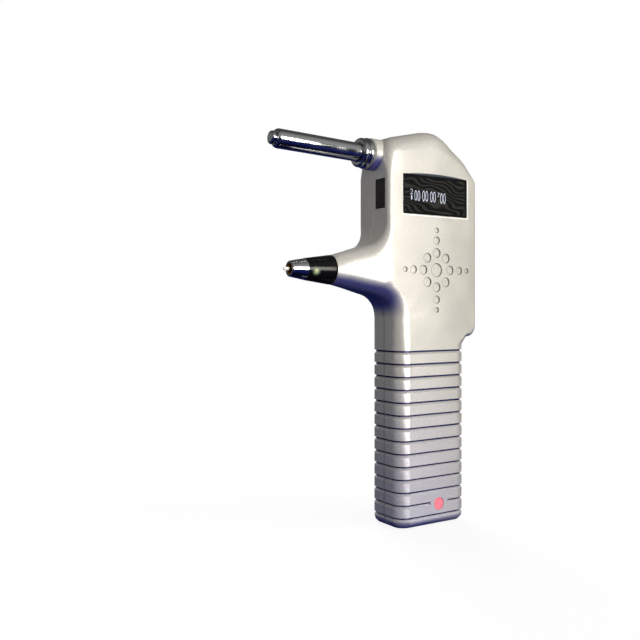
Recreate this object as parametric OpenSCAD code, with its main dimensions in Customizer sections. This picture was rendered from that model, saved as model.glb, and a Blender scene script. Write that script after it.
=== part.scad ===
// Hand-held rebound tonometer: a pistol-shaped instrument for measuring eye pressure.
// A magnetised probe is thrown forward through the nose by a coil, and a chrome rod
// rests on the brow to hold the distance. The body is two moulded half shells that
// meet at the plane Y = 0. Millimetres, Z up, the nose points along -X and the
// display faces -Y. The origin is the middle of the flat face under the handle.

/* [Handle] */
// Width of the handle from its front to its back
handle_w = 46.8; // [44:0.2:50]
// Thickness of the whole body from side to side
body_t = 27; // [26:0.5:30]
// Height of the straight grooved handle
handle_h = 97; // [96:0.5:99]
// Radius of the upright edges of the handle
handle_edge_r = 7; // [5:0.5:8]
// Radius round the foot of the handle
base_r = 4; // [3:0.25:4]
// Number of grip grooves round the handle
groove_count = 14; // [10:1:14]
// Height of the lowest groove
groove_first = 5.7; // [5.7:0.1:6]
// Distance from one groove to the next
groove_pitch = 6.75; // [6.4:0.05:6.8]
// Depth of a groove
groove_depth = 1; // [0.6:0.1:1.2]
// Height of a groove's flat floor
groove_w = 0.9; // [0.7:0.1:1]
// Height of the slope under each groove
groove_slope = 1.15; // [0.8:0.05:1.2]

/* [Head] */
// Front face of the head ahead of the middle of the handle
head_front = 30.4; // [29:0.2:32]
// Back face of the head behind the middle of the handle
head_back = 30.6; // [29:0.2:32]
// Height above the handle of the ledge where the head overhangs it
ledge_up = 3.6; // [3:0.2:5]
// Height above the rod's axis where the line of the crest meets the front face
crest_up = 7.7; // [6.5:0.1:10]
// Place of the peak behind the middle of the handle
peak_x = 8; // [5:0.5:10]
// Height of the peak above the front of the crest, before it is rounded
peak_up = 9.3; // [8:0.1:11]
// How far the corner between the back and the crest lies below the window's top
back_drop = 0.7; // [0:0.1:1]
// Wall of the moulded shells
wall = 2.4; // [2:0.1:2.6]

/* [Horn and nose] */
// Height of the probe's axis above the handle
axis_up = 39; // [37:0.5:41]
// End of the horn ahead of the middle of the handle
horn_x = 57.8; // [56:0.2:60]
// Diameter of the horn at its end
horn_d = 15.1; // [14.6:0.1:15.6]
// Length of the black sleeve
sleeve_len = 15.6; // [14:0.2:17]
// Diameter of the black sleeve at its front
sleeve_d = 11.1; // [10.8:0.1:11.6]
// Length of the chrome nose ring
nose_len = 8.6; // [8:0.2:10]
// Diameter of the chrome nose ring at its mouth
nose_d = 8.2; // [7.8:0.1:8.6]
// Diameter of the mouth
mouth_d = 4.8; // [4.6:0.1:5]

/* [Probe] */
// Diameter of the probe's steel wire
probe_d = 1.1; // [1:0.05:1.2]
// Diameter of the probe's rounded tip
tip_d = 1.8; // [1.6:0.1:2]
// How far the probe stands out of the mouth at rest
probe_out = 3.4; // [3:0.1:5]
// How far the probe is thrown forward
probe_travel = 6; // [4:0.5:8]

/* [Forehead rod] */
// Diameter of the chrome rod
rod_d = 9.8; // [9.4:0.1:10]
// Length of the rod ahead of the head
rod_out = 60; // [54:0.5:62]
// Height of the rod's axis at the front face above the window's top
rod_up = 10.6; // [9.6:0.1:11.2]
// Angle by which the rod rises to the front
rod_rise = 2.2; // [0:0.1:2.4]
// How far the rod pulls out from where it rests
rod_pull = 6; // [4:0.5:8]

/* [Display] */
// Width of the display window
window_w = 44.6; // [43:0.2:45]
// Height of the display window
window_h = 20.9; // [19:0.1:21]
// Height of the window's lower edge above the probe's axis
window_up = 30; // [29:0.1:31]
// Depth of the window's face below the side of the head
window_sink = 0.5; // [0.3:0.1:0.7]

/* [Buttons] */
// Width of the control panel on the back
panel_w = 18; // [16.5:0.5:18]
// Height of the control panel
panel_h = 42.4; // [40:0.2:42.4]
// Height of the control panel's lower edge above the probe's axis
panel_up = 5; // [4.6:0.2:5.4]
// Diameter of the measuring button
measure_d = 12; // [11:0.5:12.5]
// Diameter of a selecting button
select_d = 7; // [6:0.5:8]
// Travel of the buttons
button_travel = 1; // [0.6:0.1:1.2]

/* [Power] */
// Diameter of the lithium cell
cell_d = 18.4; // [18:0.1:18.6]
// Length of the lithium cell
cell_len = 65; // [64:0.5:66]
// Diameter of the red charging lens
lens_d = 6.6; // [6:0.1:7]

/* [Hidden] */
$fn = 48;

over = 1;
seat_gap = 0.05;
free_gap = 0.3;
half_w = handle_w / 2;
half_t = body_t / 2;
inner_y = half_t - wall;
inner_back = head_back - wall;
inner_front = head_front - wall;
nearly = 0.05;

// Heights of the head's features, one from another
ledge_z = handle_h + ledge_up;
axis_z = handle_h + axis_up;
window_z = axis_z + window_up;
panel_z = axis_z + panel_up;
rod_z = window_z + window_h + rod_up;
crest_front_z = rod_z + crest_up;
peak_z = crest_front_z + peak_up;
back_top_z = window_z + window_h - back_drop;

// Round stretches and edge rounds of the body
edge_steps = 4;
base_steps = 3;
parting_bevel = 0.3;
inner_round = 0.8;
side_extra = 0.1;
relief = 0.3;
horn_r = horn_d / 2;
horn_flat = 0.3;
horn_solid = 7.8;
horn_root_edge_r = 8;
horn_root_h = 15;
horn_top_z = axis_z + horn_root_h;
horn_low_z = axis_z - horn_root_h;
horn_top_r = 11.7;
horn_low_r = 12.6;
horn_steps = 3;
root_steps = 6;
flare_end_x = -head_front - wall / 4;
front_edge_r = 2.5;
brow_edge_r = 6;
brow_r = 10;
brow_top_edge_r = 9.5;
brow_drop = 11.5;
brow_low_z = rod_z - brow_drop;
peak_r = 19;
peak_edge_r = 11;
shoulder_r = 30;
shoulder_low_edge_r = 5;
shoulder_top_edge_r = 7;
shoulder_in = 7.2;
shoulder_up = 11.6;
shoulder_x = head_back - shoulder_in;
shoulder_z = back_top_z + shoulder_up;
back_r = 3.6;
back_edge_r = 2.2;
ledge_r = 5.8;
ledge_edge_r = 2.4;
nook_r = 1.2;
nook_edge_r = 3.2;

// Vectors in the plane of the side view
function unit(v) = v / norm(v);
function turn(u, v) = atan2(u.x * v.y - u.y * v.x, u * v);
function turned(v, a) = [v.x * cos(a) - v.y * sin(a), v.x * sin(a) + v.y * cos(a)];
function mix(a, b, t) = a + (b - a) * t;
function smooth(t) = t <= 0 ? 0 : t >= 1 ? 1 : t * t * (3 - 2 * t);
function flat(lists) = [for (l = lists) for (e = l) e];

// Half thickness of the body at a distance along X, from the round horn to the flat head
function half_thick(x) = mix(horn_r, half_t, smooth((x + horn_x) / (flare_end_x + horn_x)));

// A station is one place on the outline of the side view:
// [point, outward direction, edge radius, half thickness, has a place on the inner wall]
function station(p, n, r, key = true, t = -1) = [p, n, r, t < 0 ? half_thick(p.x) : t, key];

// Stations round a filleted corner q between p and s, with an edge radius from r0 to r1
function corner(p, q, s, fillet, steps, r0, r1) =
    let (u = unit(q - p), v = unit(s - q), w = turn(u, v), side = sign(w),
         n = [u.y, -u.x], c = q - u * fillet * tan(abs(w) / 2) - n * fillet * side)
    [for (k = [0:steps]) let (m = turned(n, w * k / steps))
        station(c + m * fillet * side, m, mix(r0, r1, k / steps))];

// Stations along the straight side of the horn, from its end to the root fillet
function horn_side(tip, root, n) =
    let (solid = mix(tip, root[0], horn_solid / (root[0].x - tip.x)),
         n0 = [0, sign(n.y)])
    concat(
        [station(tip, n0, horn_r - horn_flat, false)],
        [for (k = [0:horn_steps - 1]) let (p = mix(solid, root[0], k / horn_steps),
                                           t = (p.x - tip.x) / (root[0].x - tip.x))
            station(p, unit(mix(n0, n, t)), mix(horn_r - horn_flat, horn_root_edge_r, t))]);

// Heights down the handle, with how far the surface lies in: [height, inset, has an inner place]
grip_rows = concat(
    [[handle_h, 0, true]],
    flat([for (i = [groove_count - 1:-1:0]) let (z = groove_first + i * groove_pitch) [
        [z + groove_w / 2, 0, true],
        [z + groove_w / 2 - nearly, groove_depth, false],
        [z - groove_w / 2, groove_depth, false],
        [z - groove_w / 2 - groove_slope, 0, false]]]),
    [[base_r, 0, true]],
    [for (k = [1:base_steps]) let (a = 90 * k / base_steps)
        [base_r * (1 - sin(a)), base_r * (1 - cos(a)), false]]);

function grip_station(row, side) =
    station([side * (half_w - row[1]), row[0]], [side, 0], handle_edge_r - row[1], row[2],
            half_t - row[1]);

// Corners of the head above the handle: [x, z, fillet, steps, edge radius before, and after]
head_corners = [
    [half_w, ledge_z, nook_r, 2, nook_edge_r, ledge_edge_r],
    [head_back, ledge_z, ledge_r, 5, ledge_edge_r, back_edge_r],
    [head_back, back_top_z, back_r, 3, back_edge_r, back_edge_r],
    [shoulder_x, shoulder_z, shoulder_r, 4, shoulder_low_edge_r, shoulder_top_edge_r],
    [peak_x, peak_z, peak_r, 8, peak_edge_r, peak_edge_r],
    [-head_front, crest_front_z, brow_r, 5, brow_top_edge_r, brow_edge_r],
    [-head_front, brow_low_z, 0, 0, front_edge_r, front_edge_r]];

horn_low_tip = [-horn_x, axis_z - horn_r];
horn_top_tip = [-horn_x, axis_z + horn_r];
horn_low_corner = [-half_w, horn_low_z];
horn_top_corner = [-head_front, horn_top_z];
grip_front_top = [-half_w, handle_h];
grip_back_top = [half_w, handle_h];

head_path = concat([grip_back_top], [for (c = head_corners) [c[0], c[1]]], [horn_top_corner]);
head_stations = flat([for (i = [0:len(head_corners) - 1]) let (c = head_corners[i])
    c[2] == 0
        ? [station([c[0], c[1]], [-1, 0], c[4])]
        : corner(head_path[i], head_path[i + 1], head_path[i + 2], c[2], c[3], c[4], c[5])]);

low_root = corner(horn_low_tip, horn_low_corner, grip_front_top, horn_low_r, root_steps,
                  horn_root_edge_r, handle_edge_r);
top_root = corner([-head_front, brow_low_z], horn_top_corner, horn_top_tip, horn_top_r,
                  root_steps, front_edge_r, horn_root_edge_r);
low_root_n = low_root[0][1];
top_root_n = top_root[root_steps][1];
horn_low = concat(horn_side(horn_low_tip, low_root[0], low_root_n), low_root);
horn_top_out = horn_side(horn_top_tip, top_root[root_steps], top_root_n);
horn_top = concat(top_root, [for (k = [len(horn_top_out) - 1:-1:0]) horn_top_out[k]]);
grip_front = [for (row = grip_rows) grip_station(row, -1)];
grip_back = [for (k = [len(grip_rows) - 1:-1:0]) grip_station(grip_rows[k], 1)];

// The whole outline, anticlockwise when seen from the display side
outline = concat(horn_low, grip_front, grip_back, head_stations, horn_top);
count = len(outline);
keys = [for (i = [0:count - 1]) if (outline[i][4]) i];
inner_count = len(keys);

// Rings of points from the parting plane out to the side face
function outer_point(s, ring) =
    let (r = s[2], ry = min(r, s[3] - 2 * parting_bevel), a = 90 * (ring - 2) / edge_steps,
         inset = ring == 0 ? parting_bevel : ring == 1 ? 0 : r * (1 - cos(a)),
         y = ring == 0 ? 0 : ring == 1 ? parting_bevel : ring == outer_rings - 1 ? s[3] + side_extra
             : s[3] - ry + ry * sin(a),
         p = s[0] - s[1] * inset)
    [p.x, -y, p.y];
function inner_r(s) = max(s[2] - wall, inner_round);
function inner_point(s, ring) =
    let (r = inner_r(s), t = s[3] - wall - relief, a = 45 * (ring - 1),
         inset = wall + (ring == 0 ? 0 : r * (1 - cos(a))),
         y = ring == 0 ? 0 : t - r + r * sin(a),
         p = s[0] - s[1] * inset)
    [p.x, -y, p.y];

outer_rings = edge_steps + 3;
inner_rings = 4;
inner_base = outer_rings * count;
outer_hub = inner_base + inner_rings * inner_count;
inner_hub = outer_hub + 1;
hub = [peak_x / 2, (horn_top_z + handle_h) / 2 + wall];

shell_points = concat(
    flat([for (k = [0:outer_rings - 1]) [for (s = outline) outer_point(s, k)]]),
    flat([for (k = [0:inner_rings - 1]) [for (i = keys) inner_point(outline[i], k)]]),
    [[hub.x, -half_t - side_extra, hub.y], [hub.x, -inner_y + relief, hub.y]]);

function quad(a, b, c, d) = [[a, b, c], [a, c, d]];
function out(k, i) = k * count + i % count;
function inn(k, j) = inner_base + k * inner_count + j % inner_count;
function key_of(i) = search(i, keys)[0];

// Places in the outline where its stretches start
low_n = len(horn_low);
grip_n = len(grip_rows);
front_0 = low_n;
back_0 = low_n + grip_n;
head_0 = back_0 + grip_n;
top_0 = head_0 + len(head_stations);
floor_i = front_0 + grip_n - 1 - base_steps;
side = outer_rings - 1;
inner_side = inner_rings - 1;
function across(i) = back_0 + back_0 - 1 - i;
function across_horn(i) = count - 1 - i;
middle = concat([low_n - 1, front_0], [for (i = [head_0 - 1:top_0]) i]);

// The wall faces between rings, then the side face, the parting face and the inner side
outer_faces = concat(
    flat([for (k = [0:side - 1]) for (i = [0:count - 1])
        quad(out(k, i), out(k + 1, i), out(k + 1, i + 1), out(k, i + 1))]),
    flat([for (i = [front_0:back_0 - 2])
        quad(out(side, i), out(side, across(i)), out(side, across(i + 1)), out(side, i + 1))]),
    flat([for (i = [0:low_n - 2])
        quad(out(side, i), out(side, across_horn(i)), out(side, across_horn(i + 1)),
             out(side, i + 1))]),
    [for (j = [0:len(middle) - 1])
        [outer_hub, out(side, middle[(j + 1) % len(middle)]), out(side, middle[j])]]);

function rim_faces(j) =
    let (a = keys[j], b = keys[j + 1])
    concat(
        [for (i = [a:1:b - 2]) [out(0, i), out(0, i + 1), inn(0, j)]],
        [[out(0, b - 1), inn(0, j + 1), inn(0, j)], [out(0, b - 1), out(0, b), inn(0, j + 1)]]);
floor_j = key_of(floor_i);
parting_faces = concat(
    flat([for (j = [0:inner_count - 2]) if (j != floor_j) rim_faces(j)]),
    flat([for (i = [floor_i + 1:back_0 - 2])
        quad(out(0, i), out(0, i + 1), out(0, across(i + 1)), out(0, across(i)))]),
    [[out(0, floor_i + 1), out(0, across(floor_i + 1)), out(0, across(floor_i))],
     [out(0, floor_i + 1), out(0, across(floor_i)), inn(0, floor_j + 1)],
     [out(0, floor_i + 1), inn(0, floor_j + 1), inn(0, floor_j)],
     [out(0, floor_i + 1), inn(0, floor_j), out(0, floor_i)]],
    [[out(0, 0), out(0, 1), inn(0, 0)],
     [out(0, 0), inn(0, 0), inn(0, inner_count - 1)],
     [out(0, 0), inn(0, inner_count - 1), out(0, count - 2)],
     [out(0, 0), out(0, count - 2), out(0, count - 1)]]);

low_keys = [for (i = [1:low_n - 1]) key_of(i)];
front_keys = [for (i = [front_0:floor_i]) if (outline[i][4]) key_of(i)];
middle_keys = [for (i = middle) key_of(i)];
function key_across(j) = floor_j + floor_j + 1 - j;
function key_across_horn(j) = inner_count - 1 - j;
inner_faces = concat(
    flat([for (k = [0:inner_side - 1]) for (j = [0:inner_count - 1])
        quad(inn(k, j), inn(k, j + 1), inn(k + 1, j + 1), inn(k + 1, j))]),
    flat([for (j = front_keys) if (j != floor_j)
        quad(inn(inner_side, j), inn(inner_side, j + 1), inn(inner_side, key_across(j + 1)),
             inn(inner_side, key_across(j)))]),
    flat([for (j = low_keys) if (j < len(low_keys) - 1)
        quad(inn(inner_side, j), inn(inner_side, j + 1), inn(inner_side, key_across_horn(j + 1)),
             inn(inner_side, key_across_horn(j)))]),
    [for (j = [0:len(middle_keys) - 1])
        [inner_hub, inn(inner_side, middle_keys[j]),
         inn(inner_side, middle_keys[(j + 1) % len(middle_keys)])]]);

// Outline of the thinned flat area on the inside of the side wall: nearby corners of the body,
// and how far from each of them the outline turns
relief_corners = [
    [-half_w + handle_edge_r, base_r], [half_w - handle_edge_r, base_r],
    [half_w - handle_edge_r, handle_h], [half_w, ledge_z], [half_w, ledge_z],
    [inner_back, ledge_z + ledge_r], [inner_back, back_top_z], [shoulder_x, shoulder_z],
    [peak_x, peak_z], [peak_x, peak_z], [-head_front, crest_front_z], [-head_front, crest_front_z],
    [-inner_front, brow_low_z], [-inner_front, horn_top_z], [-half_w + handle_edge_r, horn_low_z]];
relief_offsets = [
    [1.2, 1.2], [-1.2, 1.2], [-1.2, 0], [-5.4, 1.5], [-3.4, 4.7], [-2.4, 2.6], [-2.4, -2.6],
    [-4.9, -7], [-1, -17.6], [-7, -16], [10, -10.4], [7.6, -10.4], [2.3, -1], [2.3, 10],
    [1.6, -9]];

// The side is cut flat from a skin that is a little too thick, inside and out
module shell_half() {
    difference() {
        intersection() {
            polyhedron(shell_points, concat(outer_faces, parting_faces, inner_faces),
                       convexity = 12);
            slab([-horn_x - over, -half_t, -over], [head_back + over, over, peak_z + over]);
        }
        thick_y(-inner_y, 0) polygon(relief_corners + relief_offsets);
    }
}

// Simple solids laid along X or Y, given by where they start and end
module along_x(x0, x1, d, y = 0, z = axis_z) {
    translate([x0, y, z]) rotate([0, 90, 0]) cylinder(d = d, h = x1 - x0);
}
module along_y(y0, y1, d, x, z) {
    translate([x, y0, z]) rotate([-90, 0, 0]) cylinder(d = d, h = y1 - y0);
}
module slab(low, high) {
    translate(low) cube(high - low);
}

// A flat outline drawn in X and Z, thickened from y0 to y1
module thick_y(y0, y1) {
    translate([0, y1, 0]) rotate([90, 0, 0]) linear_extrude(y1 - y0) children();
}
// A flat outline drawn in Y and Z, thickened from x0 to x1
module thick_x(x0, x1) {
    translate([x0, 0, 0]) rotate([90, 0, 90]) linear_extrude(x1 - x0) children();
}
module rounded(w, h, r) {
    square([w - 2 * r, h], center = true);
    square([w, h - 2 * r], center = true);
    for (x = [-1, 1], y = [-1, 1]) translate([x * (w / 2 - r), y * (h / 2 - r)]) circle(r);
}

// The rod's own frame: its local Z runs back along the rod from the front face
module on_rod() {
    translate([-head_front, 0, rod_z]) rotate([0, rod_rise, 0]) rotate([0, 90, 0]) children();
}
// A ring turned about the nose axis: points are [radius, distance ahead of the horn's end]
module turned_nose(points) {
    translate([-horn_x, 0, axis_z]) rotate([0, -90, 0]) rotate_extrude() polygon(points);
}

// Screws: places [x, z] and sizes
screw_corners = [
    [-half_w + wall, base_r], [half_w - wall, handle_h], [-inner_front, axis_z],
    [inner_back, axis_z], [inner_back, back_top_z]];
screw_offsets = [[5.5, 11], [-4.5, -1], [5.4, 22], [-3.2, -24], [-6.8, 5.3]];
screw_places = screw_corners + screw_offsets;
screw_d = 2.5;
screw_hole_d = 2.6;
screw_pass_d = 2.8;
screw_head_d = 5;
screw_head_h = 2;
screw_boss_d = 7;
screw_sink_d = 5.6;
screw_sink_y = 8.5;
screw_len = 14;
screw_hole_y = 8;
recess_w = 0.8;
recess_d = 1.1;

// Places on the side of the head
window_x = 1.1;
window_t = 1.2;
window_r = 0.8;
window_ledge = 2.5;
window_pocket = window_sink + window_t + seat_gap;
window_mid_z = window_z + window_h / 2;
scoop_h = 1.3;
scoop_depth = 0.7;
scoop_w = window_w - 2 * window_r;
scoop_r = (scoop_w * scoop_w / 4 + scoop_h * scoop_h) / (2 * scoop_h);
dimple_x = 3.2;
dimple_drop = 0.6;
dimple_z = axis_z - dimple_drop;
dimple_depth = 0.6;
dimple_mid_d = 7.5;
dimple_rings = [[9.7, 5.2], [16.7, 4.3], [22.5, 2.8]];
dimple_diagonal = 6.75;

// The charging lens and its flat pad, which interrupts the second groove
lens_x = 3.3;
lens_z = groove_first + groove_pitch - groove_slope;
lens_pad_w = 12;
lens_sink = 0.2;
lens_head_t = 1;
lens_stem_d = 5;

// The sensor window beside the parting line
sensor_y0 = 1.8;
sensor_w = 8.3;
sensor_up = 2.6;
sensor_z = window_z + sensor_up;
sensor_h = 15.6;
sensor_t = 1;
sensor_sink = 0.1;
sensor_ledge = 1.2;

// The boss and bush that guide the rod
bush_d = 13.6;
bush_len = 22;
boss_r = 8.3;
boss_out = 4;
boss_in = 6;
boss_edge = 0.5;
flare_h = 3;
flare_shift = 1.3;
rib_from = 15;
rib_t = 2;
rib_r = 10;
grip_rib_t = 1.5;
grip_rib_h = 12;

// The charging socket in the foot
socket_w = 8.9;
socket_t = 3.2;
socket_h = 7.4;
socket_z = 0.5;
socket_r = 1.2;
board_t = 1.6;

// The rod's boss and its rear rib, as half rings on one side of the parting plane
module rod_guides() {
    on_rod() rotate(180) {
        rotate_extrude(angle = 180) polygon([
            [0, -boss_out], [boss_r - boss_edge, -boss_out], [boss_r, -boss_out + boss_edge],
            [boss_r, boss_in], [0, boss_in]]);
        translate([-flare_shift, 0]) rotate_extrude(angle = 180) polygon([
            [0, -flare_h], [boss_r - flare_shift, -flare_h], [boss_r + flare_shift, 0],
            [boss_r + flare_shift, wall / 2], [0, wall / 2]]);
        translate([0, 0, rib_from]) rotate_extrude(angle = 180) square([rib_r, rib_t]);
    }
    slab([-head_front + rib_from, -inner_y - wall / 2, rod_z - rib_r],
         [-head_front + rib_from + rib_t, 0, rod_z]);
}

// What both half shells are made from: the shell with its bosses, before its cuts
module half_body() {
    shell_half();
    rod_guides();
    for (p = screw_places) along_y(-inner_y - wall / 2, 0, screw_boss_d, p.x, p.y);
    for (x = [carrier_x - seat_gap - grip_rib_t, carrier_x + carrier_t + seat_gap])
        slab([x, -inner_y - wall / 4, axis_z - grip_rib_h / 2],
             [x + grip_rib_t, -inner_y + grip_rib_t, axis_z + grip_rib_h / 2]);
}

// Cuts that both half shells share
module shared_cuts() {
    on_rod() translate([0, 0, -boss_out - over])
        cylinder(d = bush_d + 2 * seat_gap, h = boss_out + rib_from + rib_t + 2 * over);
    along_x(-horn_x - over, -horn_x + horn_solid + over, spigot_d + 2 * seat_gap);
    translate([0, 0, -over]) linear_extrude(base_r + 2 * over)
        rounded(socket_w + 2 * free_gap, socket_t + 2 * free_gap, socket_r + free_gap);
    thick_x(inner_back - over, head_back + over) translate([0, panel_z + panel_h / 2])
        rounded(panel_w + 2 * seat_gap, panel_h + 2 * seat_gap, panel_r);
}

module dimples() {
    y1 = -half_t + dimple_depth;
    along_y(-half_t - over, y1, dimple_mid_d, dimple_x, dimple_z);
    for (a = [0:90:270]) {
        for (ring = dimple_rings)
            along_y(-half_t - over, y1, ring[1], dimple_x + ring[0] * cos(a),
                    dimple_z + ring[0] * sin(a));
        along_y(-half_t - over, y1, dimple_rings[0][1],
                dimple_x + dimple_diagonal * sqrt(2) * cos(a + 45),
                dimple_z + dimple_diagonal * sqrt(2) * sin(a + 45));
    }
}

// The window's pocket, the opening behind it and the sloping scoop above it
module window_cuts() {
    translate([window_x, 0, window_mid_z]) {
        thick_y(-half_t - over, -half_t + window_pocket) rounded(window_w, window_h, window_r);
        thick_y(-half_t, -inner_y + over)
            rounded(window_w - 2 * window_ledge, window_h - 2 * window_ledge, window_r);
        intersection() {
            translate([0, -half_t + scoop_depth, window_h / 2 + scoop_h - scoop_r])
                rotate([90, 0, 0]) cylinder(r1 = scoop_r - scoop_h, h = scoop_depth + over,
                    r2 = scoop_r + scoop_h * over / scoop_depth, $fn = 180);
            slab([-scoop_w / 2, -half_t - over, window_h / 2 - window_r],
                 [scoop_w / 2, -half_t + scoop_depth, window_h / 2 + 2 * scoop_h]);
        }
    }
}

module right_housing() {
    color("gainsboro") difference() {
        union() {
            half_body();
            slab([lens_x - lens_pad_w / 2, -half_t, lens_z - groove_w],
                 [lens_x + lens_pad_w / 2, -inner_y - wall / 4,
                  lens_z + groove_slope + groove_w]);
        }
        shared_cuts();
        window_cuts();
        dimples();
        along_y(-half_t - over, -half_t + lens_sink + lens_head_t + seat_gap, lens_d + 2 * seat_gap,
                lens_x, lens_z);
        along_y(-half_t - over, -inner_y + over, lens_stem_d + 2 * seat_gap, lens_x, lens_z);
        translate([0, -sensor_y0 - sensor_w / 2, sensor_z + sensor_h / 2]) {
            thick_x(-head_front - over, -head_front + sensor_sink + sensor_t + seat_gap)
                square([sensor_w + 2 * seat_gap, sensor_h + 2 * seat_gap], center = true);
            thick_x(-head_front, -inner_front + over)
                square([sensor_w - 2 * sensor_ledge, sensor_h - 2 * sensor_ledge], center = true);
        }
        for (p = screw_places) along_y(-screw_hole_y, over, screw_hole_d, p.x, p.y);
    }
}

module left_housing() {
    color("gainsboro") difference() {
        union() {
            mirror([0, 1, 0]) half_body();
            for (p = board_posts)
                along_y(board_y + board_t, inner_y + wall / 2, post_d, p.x, p.y);
            for (p = charge_posts)
                along_y(charge_y + board_t, inner_y + wall / 2, post_d, p.x, p.y);
        }
        shared_cuts();
        for (p = screw_places) {
            along_y(-over, half_t + over, screw_pass_d, p.x, p.y);
            along_y(screw_sink_y, half_t + over, screw_sink_d, p.x, p.y);
        }
    }
}

module housing_screws() {
    color("dimgray") for (p = screw_places) difference() {
        union() {
            along_y(screw_sink_y + seat_gap, screw_sink_y + seat_gap + screw_head_h,
                    screw_head_d, p.x, p.y);
            along_y(screw_sink_y - screw_len, screw_sink_y + screw_head_h / 2, screw_d, p.x, p.y);
        }
        for (a = [0, 90]) translate([p.x, screw_sink_y + screw_head_h - recess_d + seat_gap, p.y])
            rotate([0, a, 0]) translate([-screw_head_d / 4, 0, -recess_w / 2])
                cube([screw_head_d / 2, recess_d + over, recess_w]);
    }
}

module display_window() {
    color("black") translate([window_x, 0, window_mid_z])
        thick_y(-half_t + window_sink, -half_t + window_sink + window_t)
            rounded(window_w - 2 * seat_gap, window_h - 2 * seat_gap, window_r);
}

// The display sits behind the window, in the opening through the wall
module_gap = 1;
module_t = 2.4;
module display_module() {
    w = window_w - 2 * window_ledge - module_gap;
    h = window_h - 2 * window_ledge - module_gap;
    y = -half_t + window_pocket;
    color("midnightblue") translate([window_x, 0, window_mid_z]) {
        thick_y(y, y + module_t) square([w, h], center = true);
        thick_y(y + module_t, y + module_t + board_t)
            square([w - module_gap, h - module_gap], center = true);
    }
}

module sensor_window() {
    color("black") translate([0, -sensor_y0 - sensor_w / 2, sensor_z + sensor_h / 2])
        thick_x(-head_front + sensor_sink, -head_front + sensor_sink + sensor_t)
            square([sensor_w, sensor_h], center = true);
}

// A small board against the inside of the front wall, with a sender and a receiver
eye_d = 4;
module sensor_board() {
    y = -sensor_y0 - sensor_w / 2;
    z = sensor_z + sensor_h / 2;
    x = -inner_front + seat_gap;
    color("seagreen") {
        thick_x(x, x + board_t) translate([y, z])
            square([sensor_w, sensor_h + 2 * sensor_ledge], center = true);
        for (side = [-1, 1])
            along_x(-head_front + sensor_sink + sensor_t + seat_gap, x + board_t / 2, eye_d,
                    y, z + side * sensor_h / 4);
    }
}

module charge_lens() {
    color("lightcoral") {
        along_y(-half_t + lens_sink, -half_t + lens_sink + lens_head_t, lens_d, lens_x, lens_z);
        along_y(-half_t + lens_sink + lens_head_t / 2, charge_y - lamp_t - free_gap,
                lens_stem_d, lens_x, lens_z);
    }
}

// The charging board stands across the foot behind the socket
charge_y = socket_t / 2;
charge_w = 26;
charge_x = 2;
charge_z0 = base_r + free_gap;
charge_h = 14.5;
lamp_t = 1.4;
lamp_w = 3;
chip_t = 1.2;
chip_w = 5;
post_d = 4;
charge_posts = [[charge_x - charge_w / 2 + post_d, charge_z0 + charge_h - post_d],
                [charge_x + charge_w / 2 - post_d, charge_z0 + charge_h - post_d]];
module charge_board() {
    color("seagreen") {
        slab([charge_x - charge_w / 2, charge_y, charge_z0],
             [charge_x + charge_w / 2, charge_y + board_t, charge_z0 + charge_h]);
        slab([lens_x - lamp_w / 2, charge_y - lamp_t, lens_z - lamp_w / 2],
             [lens_x + lamp_w / 2, charge_y, lens_z + lamp_w / 2]);
        slab([charge_x - charge_w / 2 + chip_t, charge_y - chip_t, lens_z - chip_w / 2],
             [charge_x - charge_w / 2 + chip_t + chip_w, charge_y, lens_z + chip_w / 2]);
    }
}

socket_wall = 0.4;
tongue_t = 0.7;
module charge_socket() {
    color("silver") {
        difference() {
            translate([0, 0, socket_z]) linear_extrude(socket_h)
                rounded(socket_w, socket_t - 2 * seat_gap, socket_r);
            translate([0, 0, socket_z - over]) linear_extrude(socket_h - socket_wall + over)
                rounded(socket_w - 2 * socket_wall, socket_t - 2 * socket_wall - 2 * seat_gap,
                        socket_r - socket_wall);
        }
        slab([-socket_w / 2 + 3 * socket_wall, -tongue_t / 2, socket_z + socket_wall],
             [socket_w / 2 - 3 * socket_wall, tongue_t / 2, socket_z + socket_h - socket_wall / 2]);
    }
}

// The cell stands in a half-round cradle with an end plate and a contact at each end
cradle_z = 20;
cradle_wall = 1.2;
cradle_foot = 8;
plate_t = 1.4;
contact_h = 2.1;
contact_d = 9;
cap_d = 6;
cap_h = 1.2;
cell_z = cradle_z + plate_t + contact_h + 2 * seat_gap;
module battery_cell() {
    color("mediumseagreen") translate([0, 0, cell_z]) {
        cylinder(d = cell_d, h = cell_len - cap_h);
        cylinder(d = cap_d, h = cell_len);
    }
}

cradle_d = cell_d + 2 * free_gap + 2 * cradle_wall;
cradle_top = cell_z + cell_len + contact_h + 2 * seat_gap;
module battery_cradle() {
    color("dimgray") {
        translate([0, 0, cradle_z]) rotate_extrude(angle = 180)
            translate([cradle_d / 2 - cradle_wall, 0]) square([cradle_wall, cradle_top - cradle_z]);
        translate([0, 0, cradle_z]) cylinder(d = cradle_d, h = plate_t);
        translate([0, 0, cradle_top - plate_t / 2]) cylinder(d = cradle_d, h = plate_t);
        for (z = [cradle_z + cradle_foot, cradle_top - 2 * cradle_foot])
            slab([-cradle_foot / 2, cradle_d / 2 - cradle_wall / 2, z],
                 [cradle_foot / 2, inner_y - seat_gap, z + cradle_foot]);
    }
}

module contact(height) {
    rotate_extrude() polygon([
        [0, 0], [contact_d / 2, 0], [contact_d / 2, height / 4], [contact_d / 4, height],
        [0, height]]);
}
module battery_contacts() {
    color("gold") {
        translate([0, 0, cradle_z + plate_t + seat_gap]) contact(contact_h);
        translate([0, 0, cradle_top - plate_t / 2 - seat_gap]) mirror([0, 0, 1])
            contact(cradle_top - plate_t / 2 - 2 * seat_gap - cell_z - cell_len);
    }
}

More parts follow.
